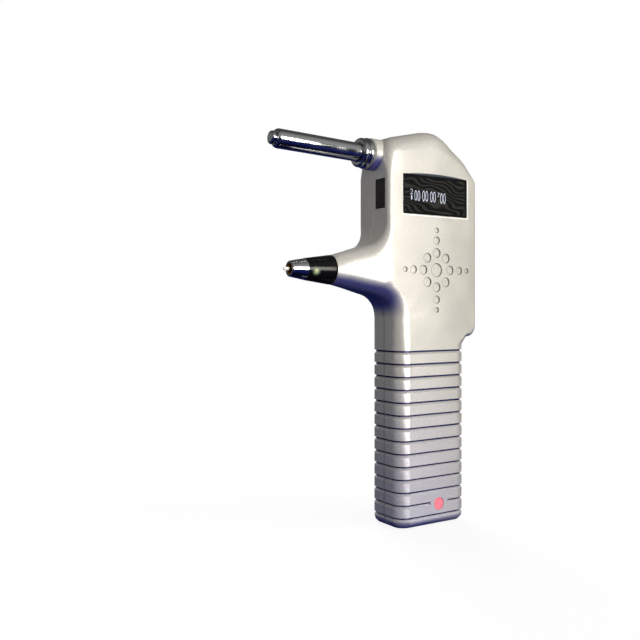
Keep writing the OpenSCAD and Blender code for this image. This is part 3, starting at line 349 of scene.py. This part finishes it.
def makeSilverLacquer(name):
    material, tree, output, place = startMaterial(name)
    flake = addNode(tree, "ShaderNodeTexNoise", {"Vector": place, "Scale": silver["flake"],
                                                 "Detail": 2.0})
    cloud = addNode(tree, "ShaderNodeTexNoise", {"Vector": place, "Scale": silver["cloud"],
                                                 "Detail": 3.0})
    height = addNode(tree, "ShaderNodeSeparateXYZ", {"Vector": place}).outputs["Z"]
    # painted reflection of blue surroundings, growing towards the foot
    foot = addNode(tree, "ShaderNodeMapRange", {
        "Value": height, "From Min": 0.0, "From Max": silver["blueReflectionTop"] * mm,
        "To Min": 1.0, "To Max": 0.0})
    base = addNode(tree, "ShaderNodeMix", {"Factor": foot, "A": silver["warm"],
                                           "B": silver["blueReflection"]}, data_type="RGBA")
    sparkle = addNode(tree, "ShaderNodeValToRGB", {"Fac": flake}, silver["flakeStops"])
    colour = addNode(tree, "ShaderNodeMix", {"Factor": 1.0, "A": base, "B": sparkle},
                     data_type="RGBA", blend_type="MULTIPLY")
    # painted reflection and shade on undersides, painted shade towards the back, on the window's
    # slope, round the dimples, in the parting line and in the grooves, and a painted highlight
    # round the window
    for mask, look in ((undersideReflectionMask(tree), undersideReflection), (rearShadeMask(tree, place), rearShade),
                       (scoopShadeMask(tree, place), scoopShade),
                       (windowEdgeHighlightMask(tree, place), windowEdgeHighlight),
                       (dimpleRimShadeMask(tree, place), dimple), (seamShadeMask(tree, place), seamShade),
                       (grooveShadeMask(tree, place), grooveShade)):
        colour = addNode(tree, "ShaderNodeMix", {"Factor": mask, "A": colour,
                                                 "B": look["colour"]}, data_type="RGBA")
    rough = addNode(tree, "ShaderNodeMapRange", {
        "Value": cloud, "From Min": 0.3, "From Max": 0.7, "To Min": silver["smoothest"],
        "To Max": silver["roughest"]})
    peel = addNode(tree, "ShaderNodeBump", {"Height": flake, "Strength": silver["peel"],
                                            "Distance": silver["peelDepth"] * mm})
    shader = addNode(tree, "ShaderNodeBsdfPrincipled", {
        "Base Color": colour, "Roughness": rough, "Metallic": silver["metallic"],
        "Normal": peel, "Coat Weight": silver["coat"],
        "Coat Roughness": silver["coatRoughness"]})
    tree.links.new(shader.outputs[0], output.inputs["Surface"])
    return material


silverLacquer = makeSilverLacquer("silverLacquer")


# chrome plate: mirror metal with faint wiping marks, drawn 25 mm long and 0.8 mm wide, and
# smears of about 6 mm
chrome = {"colour": "#d4d6da", "stretch": (40, 1200, 1200), "smear": 160.0, "clean": 0.15,
          "wiped": 0.4, "smoothest": 0.06, "roughest": 0.2, "relief": 0.03, "reliefDepth": 0.02}


def makeChrome(name):
    material, tree, output, place = startMaterial(name)
    mapping = addNode(tree, "ShaderNodeMapping", {"Vector": place, "Scale": chrome["stretch"]})
    wipe = addNode(tree, "ShaderNodeTexNoise", {"Vector": mapping, "Scale": 1.0, "Detail": 4.0,
                                                "Roughness": 0.7})
    smear = addNode(tree, "ShaderNodeTexNoise", {"Vector": place, "Scale": chrome["smear"],
                                                 "Detail": 3.0})
    both = addNode(tree, "ShaderNodeMath", {0: wipe, 1: smear}, operation="MULTIPLY")
    rough = addNode(tree, "ShaderNodeMapRange", {
        "Value": both, "From Min": chrome["clean"], "From Max": chrome["wiped"],
        "To Min": chrome["smoothest"], "To Max": chrome["roughest"]})
    relief = addNode(tree, "ShaderNodeBump", {"Height": wipe, "Strength": chrome["relief"],
                                              "Distance": chrome["reliefDepth"] * mm})
    shader = addNode(tree, "ShaderNodeBsdfPrincipled", {
        "Base Color": chrome["colour"], "Metallic": 1.0, "Roughness": rough, "Normal": relief})
    tree.links.new(shader.outputs[0], output.inputs["Surface"])
    return material


chromePlate = makeChrome("chromePlate")

# what the plain finishes share: patches of colour about 11 mm wide, the noise values between
# which colour and roughness change, how far the roughness spreads, and the depth of the grain
plain = {"patch": 90.0, "low": 0.3, "high": 0.7, "smoother": 0.85, "rougher": 1.2,
         "depth": 0.1, "coatRoughness": 0.1}


# one plain moulded, turned or plated finish; its grain is a width in mm, and gives the eye a
# fine unevenness in gloss and relief
def makePlain(name, colour, dark, roughness, grain=1.0, metallic=0.0, bump=0.15, coat=0.0):
    material, tree, output, place = startMaterial(name)
    noise = addNode(tree, "ShaderNodeTexNoise", {"Vector": place, "Scale": 1 / (grain * mm),
                                                 "Detail": 3.0})
    patch = addNode(tree, "ShaderNodeTexNoise", {"Vector": place, "Scale": plain["patch"],
                                                 "Detail": 2.0})
    shade = addNode(tree, "ShaderNodeValToRGB", {"Fac": patch},
                    [(plain["low"], dark), (plain["high"], colour)])
    rough = addNode(tree, "ShaderNodeMapRange", {
        "Value": noise, "From Min": plain["low"], "From Max": plain["high"],
        "To Min": roughness * plain["smoother"],
        "To Max": min(roughness * plain["rougher"], 1.0)})
    relief = addNode(tree, "ShaderNodeBump", {"Height": noise, "Strength": bump,
                                              "Distance": plain["depth"] * mm})
    shader = addNode(tree, "ShaderNodeBsdfPrincipled", {
        "Base Color": shade, "Roughness": rough, "Metallic": metallic, "Normal": relief,
        "Coat Weight": coat, "Coat Roughness": plain["coatRoughness"]})
    tree.links.new(shader.outputs[0], output.inputs["Surface"])
    return material


turnedBrass = makePlain("turnedBrass", "#c99a4e", "#8a6330", 0.28, 0.3, metallic=1.0, bump=0.1)
greySteel = makePlain("greySteel", "#8d8e90", "#6d6e70", 0.35, 0.5, metallic=1.0, bump=0.1)
probeSteel = makePlain("probeSteel", "#e8e8ea", "#d2d2d4", 0.25, 0.3, metallic=1.0, bump=0.05)
whiteNylon = makePlain("whiteNylon", "#f4f4f0", "#e6e6e0", 0.5, 0.6)
greenBoard = makePlain("greenBoard", "#1f6b42", "#17553a", 0.4, 2.0)
copperWire = makePlain("copperWire", "#b46a3a", "#8f4f28", 0.35, 0.2, metallic=1.0, bump=0.4)
darkMoulding = makePlain("darkMoulding", "#33353a", "#292b2f", 0.6, 0.8)
slateMoulding = makePlain("slateMoulding", "#5a626c", "#4c545e", 0.55, 0.8)
ivoryMoulding = makePlain("ivoryMoulding", "#e2dac4", "#d4ccb4", 0.5, 0.8)
cellWrap = makePlain("cellWrap", "#2f7a5a", "#26684c", 0.3, 2.0, bump=0.05, coat=0.4)
nickelPlate = makePlain("nickelPlate", "#c8c4b4", "#aaa694", 0.3, 0.5, metallic=1.0, bump=0.1)
blackRubber = makePlain("blackRubber", "#1a1a1b", "#121213", 0.75, 0.6)
panelMoulding = makePlain("panelMoulding", "#64666b", "#58595e", 0.5, 0.5)
buttonRubber = makePlain("buttonRubber", "#26272a", "#1c1d20", 0.55, 0.5)
displayStack = makePlain("displayStack", "#10141c", "#0a0d12", 0.15, 3.0, bump=0.02)

# gloss black moulded sleeve with a grain of about 1.1 mm, and a painted glow: the sleeve
# emits the soft light of its small lamp round the lens
sleeveLook = {"colour": "#0b0b0d", "specular": 0.22, "lamp": (-69.6, -5.9, 134.9), "glow": 3.2,
              "glowColour": "#b9c9a0", "falloff": 2.0, "grain": 900.0, "smoothest": 0.14,
              "roughest": 0.24, "relief": 0.08, "reliefDepth": 0.05}


def makeSleeveBlack(name):
    material, tree, output, place = startMaterial(name)
    lamp = [value * mm for value in sleeveLook["lamp"]]
    # painted glow: emission on the sleeve, strongest at the lamp and fading out over 3.2 mm
    away = addNode(tree, "ShaderNodeVectorMath", {0: place, 1: lamp}, operation="DISTANCE")
    glow = addNode(tree, "ShaderNodeMapRange", {
        "Value": away, "From Min": 0.0, "From Max": sleeveLook["glow"] * mm,
        "To Min": 1.0, "To Max": 0.0}, interpolation_type="SMOOTHSTEP")
    strength = addNode(tree, "ShaderNodeMath", {0: glow, 1: sleeveLook["falloff"]},
                       operation="POWER")
    grain = addNode(tree, "ShaderNodeTexNoise", {"Vector": place, "Scale": sleeveLook["grain"],
                                                 "Detail": 2.0})
    rough = addNode(tree, "ShaderNodeMapRange", {
        "Value": grain, "From Min": 0.3, "From Max": 0.7, "To Min": sleeveLook["smoothest"],
        "To Max": sleeveLook["roughest"]})
    relief = addNode(tree, "ShaderNodeBump", {"Height": grain, "Strength": sleeveLook["relief"],
                                              "Distance": sleeveLook["reliefDepth"] * mm})
    shader = addNode(tree, "ShaderNodeBsdfPrincipled", {
        "Base Color": sleeveLook["colour"], "Roughness": rough,
        "Specular IOR Level": sleeveLook["specular"], "Normal": relief,
        "Emission Color": sleeveLook["glowColour"], "Emission Strength": strength})
    tree.links.new(shader.outputs[0], output.inputs["Surface"])
    return material


sleeveBlack = makeSleeveBlack("sleeveBlack")

# smoked acrylic with grey waves about 2.7 mm apart that wander over 20 mm, plain black round
# the border, and finger marks of about 14 mm in the gloss
windowLook = {"x": (-21.2, 23.4), "z": (166.0, 186.9), "border": 1.3, "fade": 0.3,
              "stretch": (1.0, 1.0, 2.3), "bend": 48.0, "shift": 40.0, "slant": 0.22,
              "waves": 2300.0, "stops": [(0.0, "#050505"), (0.45, "#0c0c0c"), (1.0, "#2b2b28")],
              "smudge": 70.0, "smoothest": 0.06, "roughest": 0.16}
acrylicIndex = 1.49


def makeWindowAcrylic(name):
    material, tree, output, place = startMaterial(name)
    axes = addNode(tree, "ShaderNodeSeparateXYZ", {"Vector": place}).outputs
    insides = []
    for axis, (low, high) in (("X", windowLook["x"]), ("Z", windowLook["z"])):
        half = (high - low) / 2 - windowLook["border"]
        offset = addNode(tree, "ShaderNodeMath", {0: axes[axis], 1: (low + high) / 2 * mm},
                         operation="SUBTRACT")
        away = addNode(tree, "ShaderNodeMath", {0: offset}, operation="ABSOLUTE")
        insides.append(addNode(tree, "ShaderNodeMapRange", {
            "Value": away, "From Min": half * mm, "From Max": (half + windowLook["fade"]) * mm,
            "To Min": 1.0, "To Max": 0.0}))
    inside = addNode(tree, "ShaderNodeMath", {0: insides[0], 1: insides[1]},
                     operation="MULTIPLY")
    mapping = addNode(tree, "ShaderNodeMapping", {"Vector": place,
                                                  "Scale": windowLook["stretch"]})
    bend = addNode(tree, "ShaderNodeTexNoise", {"Vector": mapping, "Scale": windowLook["bend"],
                                                "Detail": 1.0})
    shift = addNode(tree, "ShaderNodeMath", {0: bend, 1: windowLook["shift"]},
                    operation="MULTIPLY")
    slant = addNode(tree, "ShaderNodeMath", {0: axes["X"], 1: windowLook["slant"],
                                             2: axes["Z"]}, operation="MULTIPLY_ADD")
    rise = addNode(tree, "ShaderNodeMath", {0: slant, 1: windowLook["waves"]},
                   operation="MULTIPLY")
    phase = addNode(tree, "ShaderNodeMath", {0: rise, 1: shift}, operation="ADD")
    wave = addNode(tree, "ShaderNodeMath", {0: phase}, operation="SINE")
    level = addNode(tree, "ShaderNodeMapRange", {"Value": wave, "From Min": -1.0,
                                                 "From Max": 1.0})
    waveBands = addNode(tree, "ShaderNodeMath", {0: level, 1: inside}, operation="MULTIPLY")
    colour = addNode(tree, "ShaderNodeValToRGB", {"Fac": waveBands}, windowLook["stops"])
    smudge = addNode(tree, "ShaderNodeTexNoise", {"Vector": place,
                                                  "Scale": windowLook["smudge"],
                                                  "Detail": 4.0})
    rough = addNode(tree, "ShaderNodeMapRange", {
        "Value": smudge, "From Min": 0.4, "From Max": 0.7, "To Min": windowLook["smoothest"],
        "To Max": windowLook["roughest"]})
    shader = addNode(tree, "ShaderNodeBsdfPrincipled", {
        "Base Color": colour, "Roughness": rough, "IOR": acrylicIndex})
    tree.links.new(shader.outputs[0], output.inputs["Surface"])
    return material


windowAcrylic = makeWindowAcrylic("windowAcrylic")

# infrared-pass acrylic: almost black with a brown cast where light falls through its edge, and
# gloss that varies over about 3 mm
sensorLook = {"low": 168.6, "top": 184.2, "grain": 300.0, "smoothest": 0.05, "roughest": 0.14,
              "stops": [(0.0, "#0c0505"), (0.45, "#1c0f0d"), (0.6, "#241a16"), (1.0, "#0b0808")]}


def makeSensorAcrylic(name):
    material, tree, output, place = startMaterial(name)
    height = addNode(tree, "ShaderNodeSeparateXYZ", {"Vector": place}).outputs["Z"]
    level = addNode(tree, "ShaderNodeMapRange", {
        "Value": height, "From Min": sensorLook["low"] * mm, "From Max": sensorLook["top"] * mm})
    colour = addNode(tree, "ShaderNodeValToRGB", {"Fac": level}, sensorLook["stops"])
    grain = addNode(tree, "ShaderNodeTexNoise", {"Vector": place, "Scale": sensorLook["grain"],
                                                 "Detail": 2.0})
    rough = addNode(tree, "ShaderNodeMapRange", {
        "Value": grain, "To Min": sensorLook["smoothest"], "To Max": sensorLook["roughest"]})
    shader = addNode(tree, "ShaderNodeBsdfPrincipled", {
        "Base Color": colour, "Roughness": rough, "IOR": acrylicIndex})
    tree.links.new(shader.outputs[0], output.inputs["Surface"])
    return material


sensorAcrylic = makeSensorAcrylic("sensorAcrylic")

# translucent moulded lens lit from behind: deeper at the rim, pale at the middle, with a grain
# of about 2 mm in its face
litLens = {"pale": 0.75, "strength": 0.2, "roughness": 0.3, "scatter": 0.3, "scatterDepth": 1.0,
           "grain": 500.0, "relief": 0.05, "reliefDepth": 0.1}


def makeLitLens(name, centre, radius, middle, rim):
    material, tree, output, place = startMaterial(name)
    away = addNode(tree, "ShaderNodeVectorMath", {0: place, 1: [v * mm for v in centre]},
                   operation="DISTANCE")
    level = addNode(tree, "ShaderNodeMapRange", {"Value": away, "From Max": radius * mm})
    colour = addNode(tree, "ShaderNodeValToRGB", {"Fac": level},
                     [(0.0, middle), (litLens["pale"], middle), (1.0, rim)])
    grain = addNode(tree, "ShaderNodeTexNoise", {"Vector": place, "Scale": litLens["grain"],
                                                 "Detail": 2.0})
    relief = addNode(tree, "ShaderNodeBump", {"Height": grain, "Strength": litLens["relief"],
                                              "Distance": litLens["reliefDepth"] * mm})
    shader = addNode(tree, "ShaderNodeBsdfPrincipled", {
        "Base Color": colour, "Roughness": litLens["roughness"], "IOR": acrylicIndex,
        "Subsurface Weight": litLens["scatter"],
        "Subsurface Scale": litLens["scatterDepth"] * mm, "Emission Color": colour,
        "Emission Strength": litLens["strength"], "Normal": relief})
    tree.links.new(shader.outputs[0], output.inputs["Surface"])
    return material


redLens = makeLitLens("redLens", lensMiddle, 3.3, "#ea7888", "#d25a69")
greenLens = makeLitLens("greenLens", sleeveLook["lamp"], 1.1, "#a9b37c", "#7f8b55")

# the lit segments of the display: cold white light, uneven over about 1 mm
glowLook = {"off": "#202020", "roughness": 0.4, "grain": 900.0, "strength": 1.0,
            "stops": [(0.35, "#c9d4f2"), (0.65, "#f4f7ff")]}


def makeGlowWhite(name):
    material, tree, output, place = startMaterial(name)
    grain = addNode(tree, "ShaderNodeTexNoise", {"Vector": place, "Scale": glowLook["grain"],
                                                 "Detail": 1.0})
    colour = addNode(tree, "ShaderNodeValToRGB", {"Fac": grain}, glowLook["stops"])
    shader = addNode(tree, "ShaderNodeBsdfPrincipled", {
        "Base Color": glowLook["off"], "Roughness": glowLook["roughness"],
        "Emission Color": colour, "Emission Strength": glowLook["strength"]})
    tree.links.new(shader.outputs[0], output.inputs["Surface"])
    return material


displayLight = makeGlowWhite("displayLight")
print("materials made")


# the two half shells are merged copies of the CAD solids, shaded smooth
shells = {"pieces": (("right_housing", "rightShell"), ("left_housing", "leftShell")),
          "smoothAngle": 32, "normalWeight": 80}


# moves the shell copy's dimples to where the photograph shows them
def shiftDimples(shell):
    activate(shell)
    mesh = shell.data
    mesh.polygons.foreach_set("select", [False] * len(mesh.polygons))
    mesh.edges.foreach_set("select", [False] * len(mesh.edges))
    spots = dimpleSpots(dimple["middle"], 1.0)
    for vertex in mesh.vertices:
        x, y, z = (value / mm for value in vertex.co)
        vertex.select = y < sideFace + dimple["reach"] / 2 and any(
            math.hypot(x - spotX, z - spotZ) < wide / 2 + dimple["line"]
            for spotX, spotZ, wide in spots)
    bpy.ops.object.mode_set(mode="EDIT")
    bpy.ops.mesh.select_mode(type="VERT")
    shownX, shownZ = dimple["shown"]
    move = ((shownX - dimple["middle"][0]) * mm, 0, (shownZ - dimple["middle"][1]) * mm)
    bpy.ops.transform.translate(value=move)
    bpy.ops.transform.resize(value=(dimple["grow"], 1, dimple["grow"]),
                             center_override=(shownX * mm, 0, shownZ * mm))
    bpy.ops.object.mode_set(mode="OBJECT")
    print("dimples moved:", sum(vertex.select for vertex in mesh.vertices), "vertices")


for nodeName, pieceName in shells["pieces"]:
    shell = mergedCopy(nodeName, pieceName, shells["smoothAngle"])
    if pieceName == "rightShell":
        shiftDimples(shell)
    weighted = shell.modifiers.new("weight", "WEIGHTED_NORMAL")
    weighted.keep_sharp, weighted.weight = True, shells["normalWeight"]
    applyModifiers(shell)
    finishPiece(shell, [nodeName], "instrument", silverLacquer)
print("shells dressed")


# the nose: sleeve, ring and bush turned on one axis, and the lamp
nose = {"end": 57.8, "height": 136.0,
        "sleeve": [(1.35, -6.4), (5.5, -6.4), (5.5, 0.06), (7.45, 0.06), (7.55, 0.5), (7.55, 1.0),
                   (5.55, 15.6), (4.05, 15.6), (4.05, 10.05), (1.35, 10.05)],
        "ring": [(1.35, 10.1), (4.0, 10.1), (4.0, 15.66), (5.48, 15.66), (4.12, 23.45),
                 (4.05, 23.8), (3.85, 24.05), (3.55, 24.2), (3.2, 24.2), (2.96, 24.0),
                 (2.96, 19.4), (1.35, 19.4)],
        "bush": [(1.36, 19.5), (2.9, 19.5), (2.9, 23.9), (2.4, 23.9), (2.2, 23.0), (1.36, 19.7)]}
noseAxis = Matrix.Translation((-nose["end"] * mm, 0, nose["height"] * mm)) @ turnAbout(-90, "Y")

for pieceName, part, bevel, nodeName, slotName, material in (
        ("noseSleeve", "sleeve", 0.12, "nose_sleeve", "black_plastic", sleeveBlack),
        ("noseRing", "ring", 0.06, "nose_ring", "chrome_plate", chromePlate),
        ("mouthBush", "bush", 0.04, "mouth_bush", "turned_brass", turnedBrass)):
    piece = turnedPiece(pieceName, nose[part], bevel)
    placeMesh(piece, noseAxis)
    finishPiece(piece, [nodeName], "instrument", material)

lamp = mergedCopy("sleeve_lamp", "sleeveLampLens", 40)
finishPiece(lamp, ["sleeve_lamp"], "instrument", greenLens)
print("nose dressed")


# most of a half circle of (radius, along) points, for a bead of the rod's collar
def beadPoints(outer, middle, radius):
    return [(outer - radius + radius * math.cos(math.radians(a)),
             middle + radius * math.sin(math.radians(a))) for a in range(-80, 81, 16)]


# the brow rod: bar, end knob and collar turned on one axis
rod = {"height": 197.5, "face": 30.4, "rise": 2.2,
       "bar": [(0, -60.0), (3.0, -60.0), (3.7, -59.86), (4.3, -59.5), (4.7, -58.9),
               (4.86, -58.3), (4.9, -57.6), (4.9, 24.9), (4.1, 25.0), (4.1, 26.6), (4.9, 26.7),
               (4.9, 28.2), (0, 28.2)],
       "knob": [(0, -60.05), (2.7, -60.05), (2.7, -60.7), (3.1, -60.75), (3.35, -61.0),
                (3.4, -61.4), (3.3, -61.9), (3.0, -62.3), (2.5, -62.52), (1.5, -62.6),
                (0, -62.6)],
       "collar": [(5.2, -10.25), (6.5, -10.25), *beadPoints(7.7, -8.95, 1.3),
                  *beadPoints(8.1, -5.85, 1.3), (6.7, -4.5), (6.7, -4.06), (6.05, -4.06),
                  (6.05, -7.6), (5.2, -7.6)]}
rodAxis = (Matrix.Translation((-rod["face"] * mm, 0, rod["height"] * mm))
           @ turnAbout(rod["rise"], "Y") @ turnAbout(90, "Y"))

for pieceName, part, nodeName, body in (("browRod", "bar", "forehead_rod", "forehead_rest"),
                                        ("rodKnob", "knob", "rod_end_knob", "forehead_rest"),
                                        ("rodCollar", "collar", "rod_collar", "instrument")):
    piece = turnedPiece(pieceName, rod[part])
    placeMesh(piece, rodAxis)
    finishPiece(piece, [nodeName], body, chromePlate)
print("rod dressed")


# the probe and the display window
for nodeName, pieceName, smoothAngle, body, slotName, material in (
        ("probe_wire", "probeWire", 60, "probe", "probe_steel", probeSteel),
        ("probe_tip", "probeTip", 60, "probe", "white_plastic", whiteNylon),
        ("display_window", "displayWindow", 30, "instrument", "window_acrylic", windowAcrylic)):
    piece = mergedCopy(nodeName, pieceName, smoothAngle)
    finishPiece(piece, [nodeName], body, material)


# each text with its left and low edge, height and width in mm; the offset thins the strokes,
# and the extruded depth is scaled down by the thickness
digits = {"text": ["2", "00", "00", "00", "7", "00", "1"],
          "left": [-15.9, -13.1, -7.8, -2.4, 2.6, 4.6, -15.4],
          "low": [176.4, 173.2, 173.2, 173.1, 176.0, 172.8, 173.6],
          "height": [2.8, 5.5, 5.6, 5.7, 2.4, 5.6, 2.2],
          "width": [1.7, 3.8, 3.9, 3.8, 1.6, 3.8, 0.7],
          "face": -13.0, "resolution": 6, "offset": -0.015, "extrude": 0.01, "thickness": 0.003}


def litText(name, text, left, low, height, width):
    bpy.ops.object.select_all(action="DESELECT")
    bpy.ops.object.text_add()
    piece = bpy.context.object
    piece.name = name
    piece.data.body = text
    piece.data.resolution_u = digits["resolution"]
    piece.data.offset = digits["offset"]
    piece.data.extrude = digits["extrude"]
    bpy.ops.object.convert(target="MESH")
    xs = [v.co.x for v in piece.data.vertices]
    ys = [v.co.y for v in piece.data.vertices]
    scaleX = width * mm / (max(xs) - min(xs))
    scaleY = height * mm / (max(ys) - min(ys))
    grow = Matrix.Diagonal((scaleX, scaleY, digits["thickness"], 1))
    toPlace = (Matrix.Translation((left * mm, digits["face"] * mm, low * mm))
               @ turnAbout(90, "X"))
    placeMesh(piece, toPlace @ grow @ Matrix.Translation((-min(xs), -min(ys), 0)))
    piece.data.materials.clear()
    piece.data.materials.append(displayLight)
    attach(piece, "instrument")


for index, text in enumerate(digits["text"]):
    litText("displayDigits%d" % index, text, digits["left"][index], digits["low"][index],
            digits["height"][index], digits["width"][index])

lensShape = {"profile": [(0, 0), (3.0, 0), (3.25, 0), (3.3, 0.1), (3.3, 1.2), (2.5, 1.2),
                         (2.5, 13.1), (0, 13.1)], "bevel": 0.08}
lens = turnedPiece("chargeLens", lensShape["profile"], lensShape["bevel"])
placeMesh(lens, Matrix.Translation([v * mm for v in lensMiddle]) @ turnAbout(-90, "X"))
finishPiece(lens, ["charge_lens"], "instrument", redLens)

sensor = mergedCopy("sensor_window", "sensorWindow", 30)
finishPiece(sensor, ["sensor_window"], "instrument", sensorAcrylic)
print("display dressed")


# the keypad on the back
for nodeName, pieceName, body, slotName, material in (
        ("rear_panel", "rearPanel", "instrument", "panel_plastic", panelMoulding),
        ("measure_button", "measureCap", "measure_key", "button_plastic", buttonRubber),
        ("select_button_upper", "selectCapUpper", "select_key_upper", "button_plastic",
         buttonRubber),
        ("select_button_lower", "selectCapLower", "select_key_lower", "button_plastic",
         buttonRubber)):
    key = mergedCopy(nodeName, pieceName, 35)
    finishPiece(key, [nodeName], body, material)
print("keypad dressed")


# CAD nodes that keep their own shape
nodeLooks = {
    "housing_screws": greySteel, "display_module": displayStack, "sensor_board": greenBoard,
    "charge_board": greenBoard, "charge_socket": nickelPlate, "battery_cell": cellWrap,
    "battery_cradle": darkMoulding, "battery_contacts": nickelPlate, "main_board": greenBoard,
    "buzzer": darkMoulding, "guide_tube": turnedBrass, "coil_bobbin": ivoryMoulding,
    "drive_coil": copperWire, "sense_coil": copperWire, "coil_carrier": slateMoulding,
    "rod_stop_ring": greySteel, "rod_bush": ivoryMoulding, "rod_o_ring": blackRubber,
    "button_board": greenBoard}
for nodeName, material in nodeLooks.items():
    node = cadNodes[nodeName]
    if not node.material_slots:
        node.data.materials.append(material)
    for slotItem in node.material_slots:
        slotItem.link = "OBJECT"
        slotItem.material = material
print("inner parts dressed")


# the studio floor: pale round the foot, white farther out; lengths in metres
studio = {"white": "#ffffff", "strength": 1.0, "floorSize": 3.0, "floor": "#f4f4f4",
          "fadeNear": 0.03, "fadeFar": 0.3, "nearWhite": 0.88}


def makeFloor():
    bpy.ops.object.select_all(action="DESELECT")
    bpy.ops.mesh.primitive_plane_add(size=studio["floorSize"], location=(0, 0, 0))
    floor = bpy.context.object
    floor.name = "studioFloor"
    material, tree, output, place = startMaterial("paleFloor")
    diffuse = addNode(tree, "ShaderNodeBsdfDiffuse", {"Color": studio["floor"]})
    white = addNode(tree, "ShaderNodeEmission", {"Color": studio["white"],
                                                 "Strength": studio["strength"]})
    away = addNode(tree, "ShaderNodeVectorMath", {0: place}, operation="LENGTH")
    fade = addNode(tree, "ShaderNodeMapRange", {
        "Value": away, "From Min": studio["fadeNear"], "From Max": studio["fadeFar"],
        "To Min": studio["nearWhite"], "To Max": 1.0})
    mixed = addNode(tree, "ShaderNodeMixShader", {0: fade, 1: diffuse, 2: white})
    tree.links.new(mixed.outputs[0], output.inputs["Surface"])
    floor.data.materials.append(material)
    floor.visible_glossy = False
    floor.visible_diffuse = False


# the world is white to the camera and through clear pieces; other rays see a grey and navy room:
# its colours from straight down (0) to straight up (1), and a dark wall behind
roomLook = {"stops": [(0.0, "#07080f"), (0.14, "#0e1236"), (0.27, "#1b2468"), (0.34, "#1a2450"),
                      (0.41, "#26322e"), (0.47, "#222b26"), (0.5, "#404042"), (0.55, "#6c6c6e"),
                      (0.7, "#a4a4a4"), (0.86, "#94938e"), (1.0, "#5e5c56")],
            "wall": "#3a3a36", "wallStarts": -0.45, "wallFull": 0.0, "wallLow": 0.1,
            "wallTop": 0.4, "wallWeight": 0.8}


def makeWorld():
    world = bpy.data.worlds.new("studioWorld")
    bpy.context.scene.world = world
    world.use_nodes = True
    tree = world.node_tree
    tree.nodes.clear()
    output = addNode(tree, "ShaderNodeOutputWorld")
    rays = addNode(tree, "ShaderNodeLightPath").outputs
    direction = addNode(tree, "ShaderNodeTexCoord").outputs["Generated"]
    axes = addNode(tree, "ShaderNodeSeparateXYZ", {"Vector": direction}).outputs
    level = addNode(tree, "ShaderNodeMapRange", {"Value": axes["Z"], "From Min": -1.0,
                                                 "From Max": 1.0})
    shade = addNode(tree, "ShaderNodeValToRGB", {"Fac": level}, roomLook["stops"])
    behind = addNode(tree, "ShaderNodeMapRange", {
        "Value": axes["Y"], "From Min": roomLook["wallStarts"], "From Max": roomLook["wallFull"],
        "To Min": 0.0, "To Max": roomLook["wallWeight"]})
    above = addNode(tree, "ShaderNodeMapRange", {
        "Value": axes["Z"], "From Min": roomLook["wallLow"], "From Max": roomLook["wallTop"]})
    backward = addNode(tree, "ShaderNodeMath", {0: behind, 1: above}, operation="MULTIPLY")
    walled = addNode(tree, "ShaderNodeMix", {"Factor": backward, "A": shade,
                                             "B": roomLook["wall"]}, data_type="RGBA")
    room = addNode(tree, "ShaderNodeBackground", {"Color": walled, "Strength": 1.0})
    white = addNode(tree, "ShaderNodeBackground", {"Color": studio["white"],
                                                   "Strength": studio["strength"]})
    seen = addNode(tree, "ShaderNodeMixShader", {0: rays["Is Camera Ray"], 1: room, 2: white})
    through = addNode(tree, "ShaderNodeMixShader", {0: rays["Is Transmission Ray"], 1: seen,
                                                    2: white})
    tree.links.new(through.outputs[0], output.inputs["Surface"])


# soft lights, placed in metres; only the one at the side shows in mirrored rays
softboxes = [
    {"name": "sideBox", "place": (0.1, -1.15, 0.24), "target": (0, 0, 0.06), "size": (0.8, 0.5),
     "power": 15.8, "colour": "#fffaf0", "mirrored": True},
    {"name": "frontBox", "place": (-1.0, -0.1, 0.12), "target": (0, 0, 0.09), "size": (0.5, 0.4),
     "power": 2.6, "colour": "#fbf8f6", "mirrored": False},
    {"name": "topBox", "place": (0.62, -0.6, 1.0), "target": (-0.06, 0, 0.2), "size": (0.5, 0.2),
     "power": 6.0, "colour": "#ffffff", "mirrored": False},
    {"name": "backBox", "place": (0.3, 1.2, 0.6), "target": (0, 0, 0.13), "size": (0.9, 0.7),
     "power": 24.0, "colour": "#ffffff", "mirrored": False}]


def addSoftbox(box):
    light = bpy.data.lights.new(box["name"], "AREA")
    light.shape = "RECTANGLE"
    light.size, light.size_y = box["size"]
    light.energy = box["power"]
    light.color = toLinear(box["colour"])[:3]
    lightObject = bpy.data.objects.new(box["name"], light)
    lightObject.location = box["place"]
    aim = Vector(box["target"]) - Vector(box["place"])
    lightObject.rotation_euler = aim.to_track_quat("-Z", "Y").to_euler()
    bpy.context.scene.collection.objects.link(lightObject)
    lightObject.visible_glossy = box["mirrored"]


makeFloor()
makeWorld()
for softbox in softboxes:
    addSoftbox(softbox)
bpy.context.scene.view_settings.view_transform = "Standard"
print("studio lit")
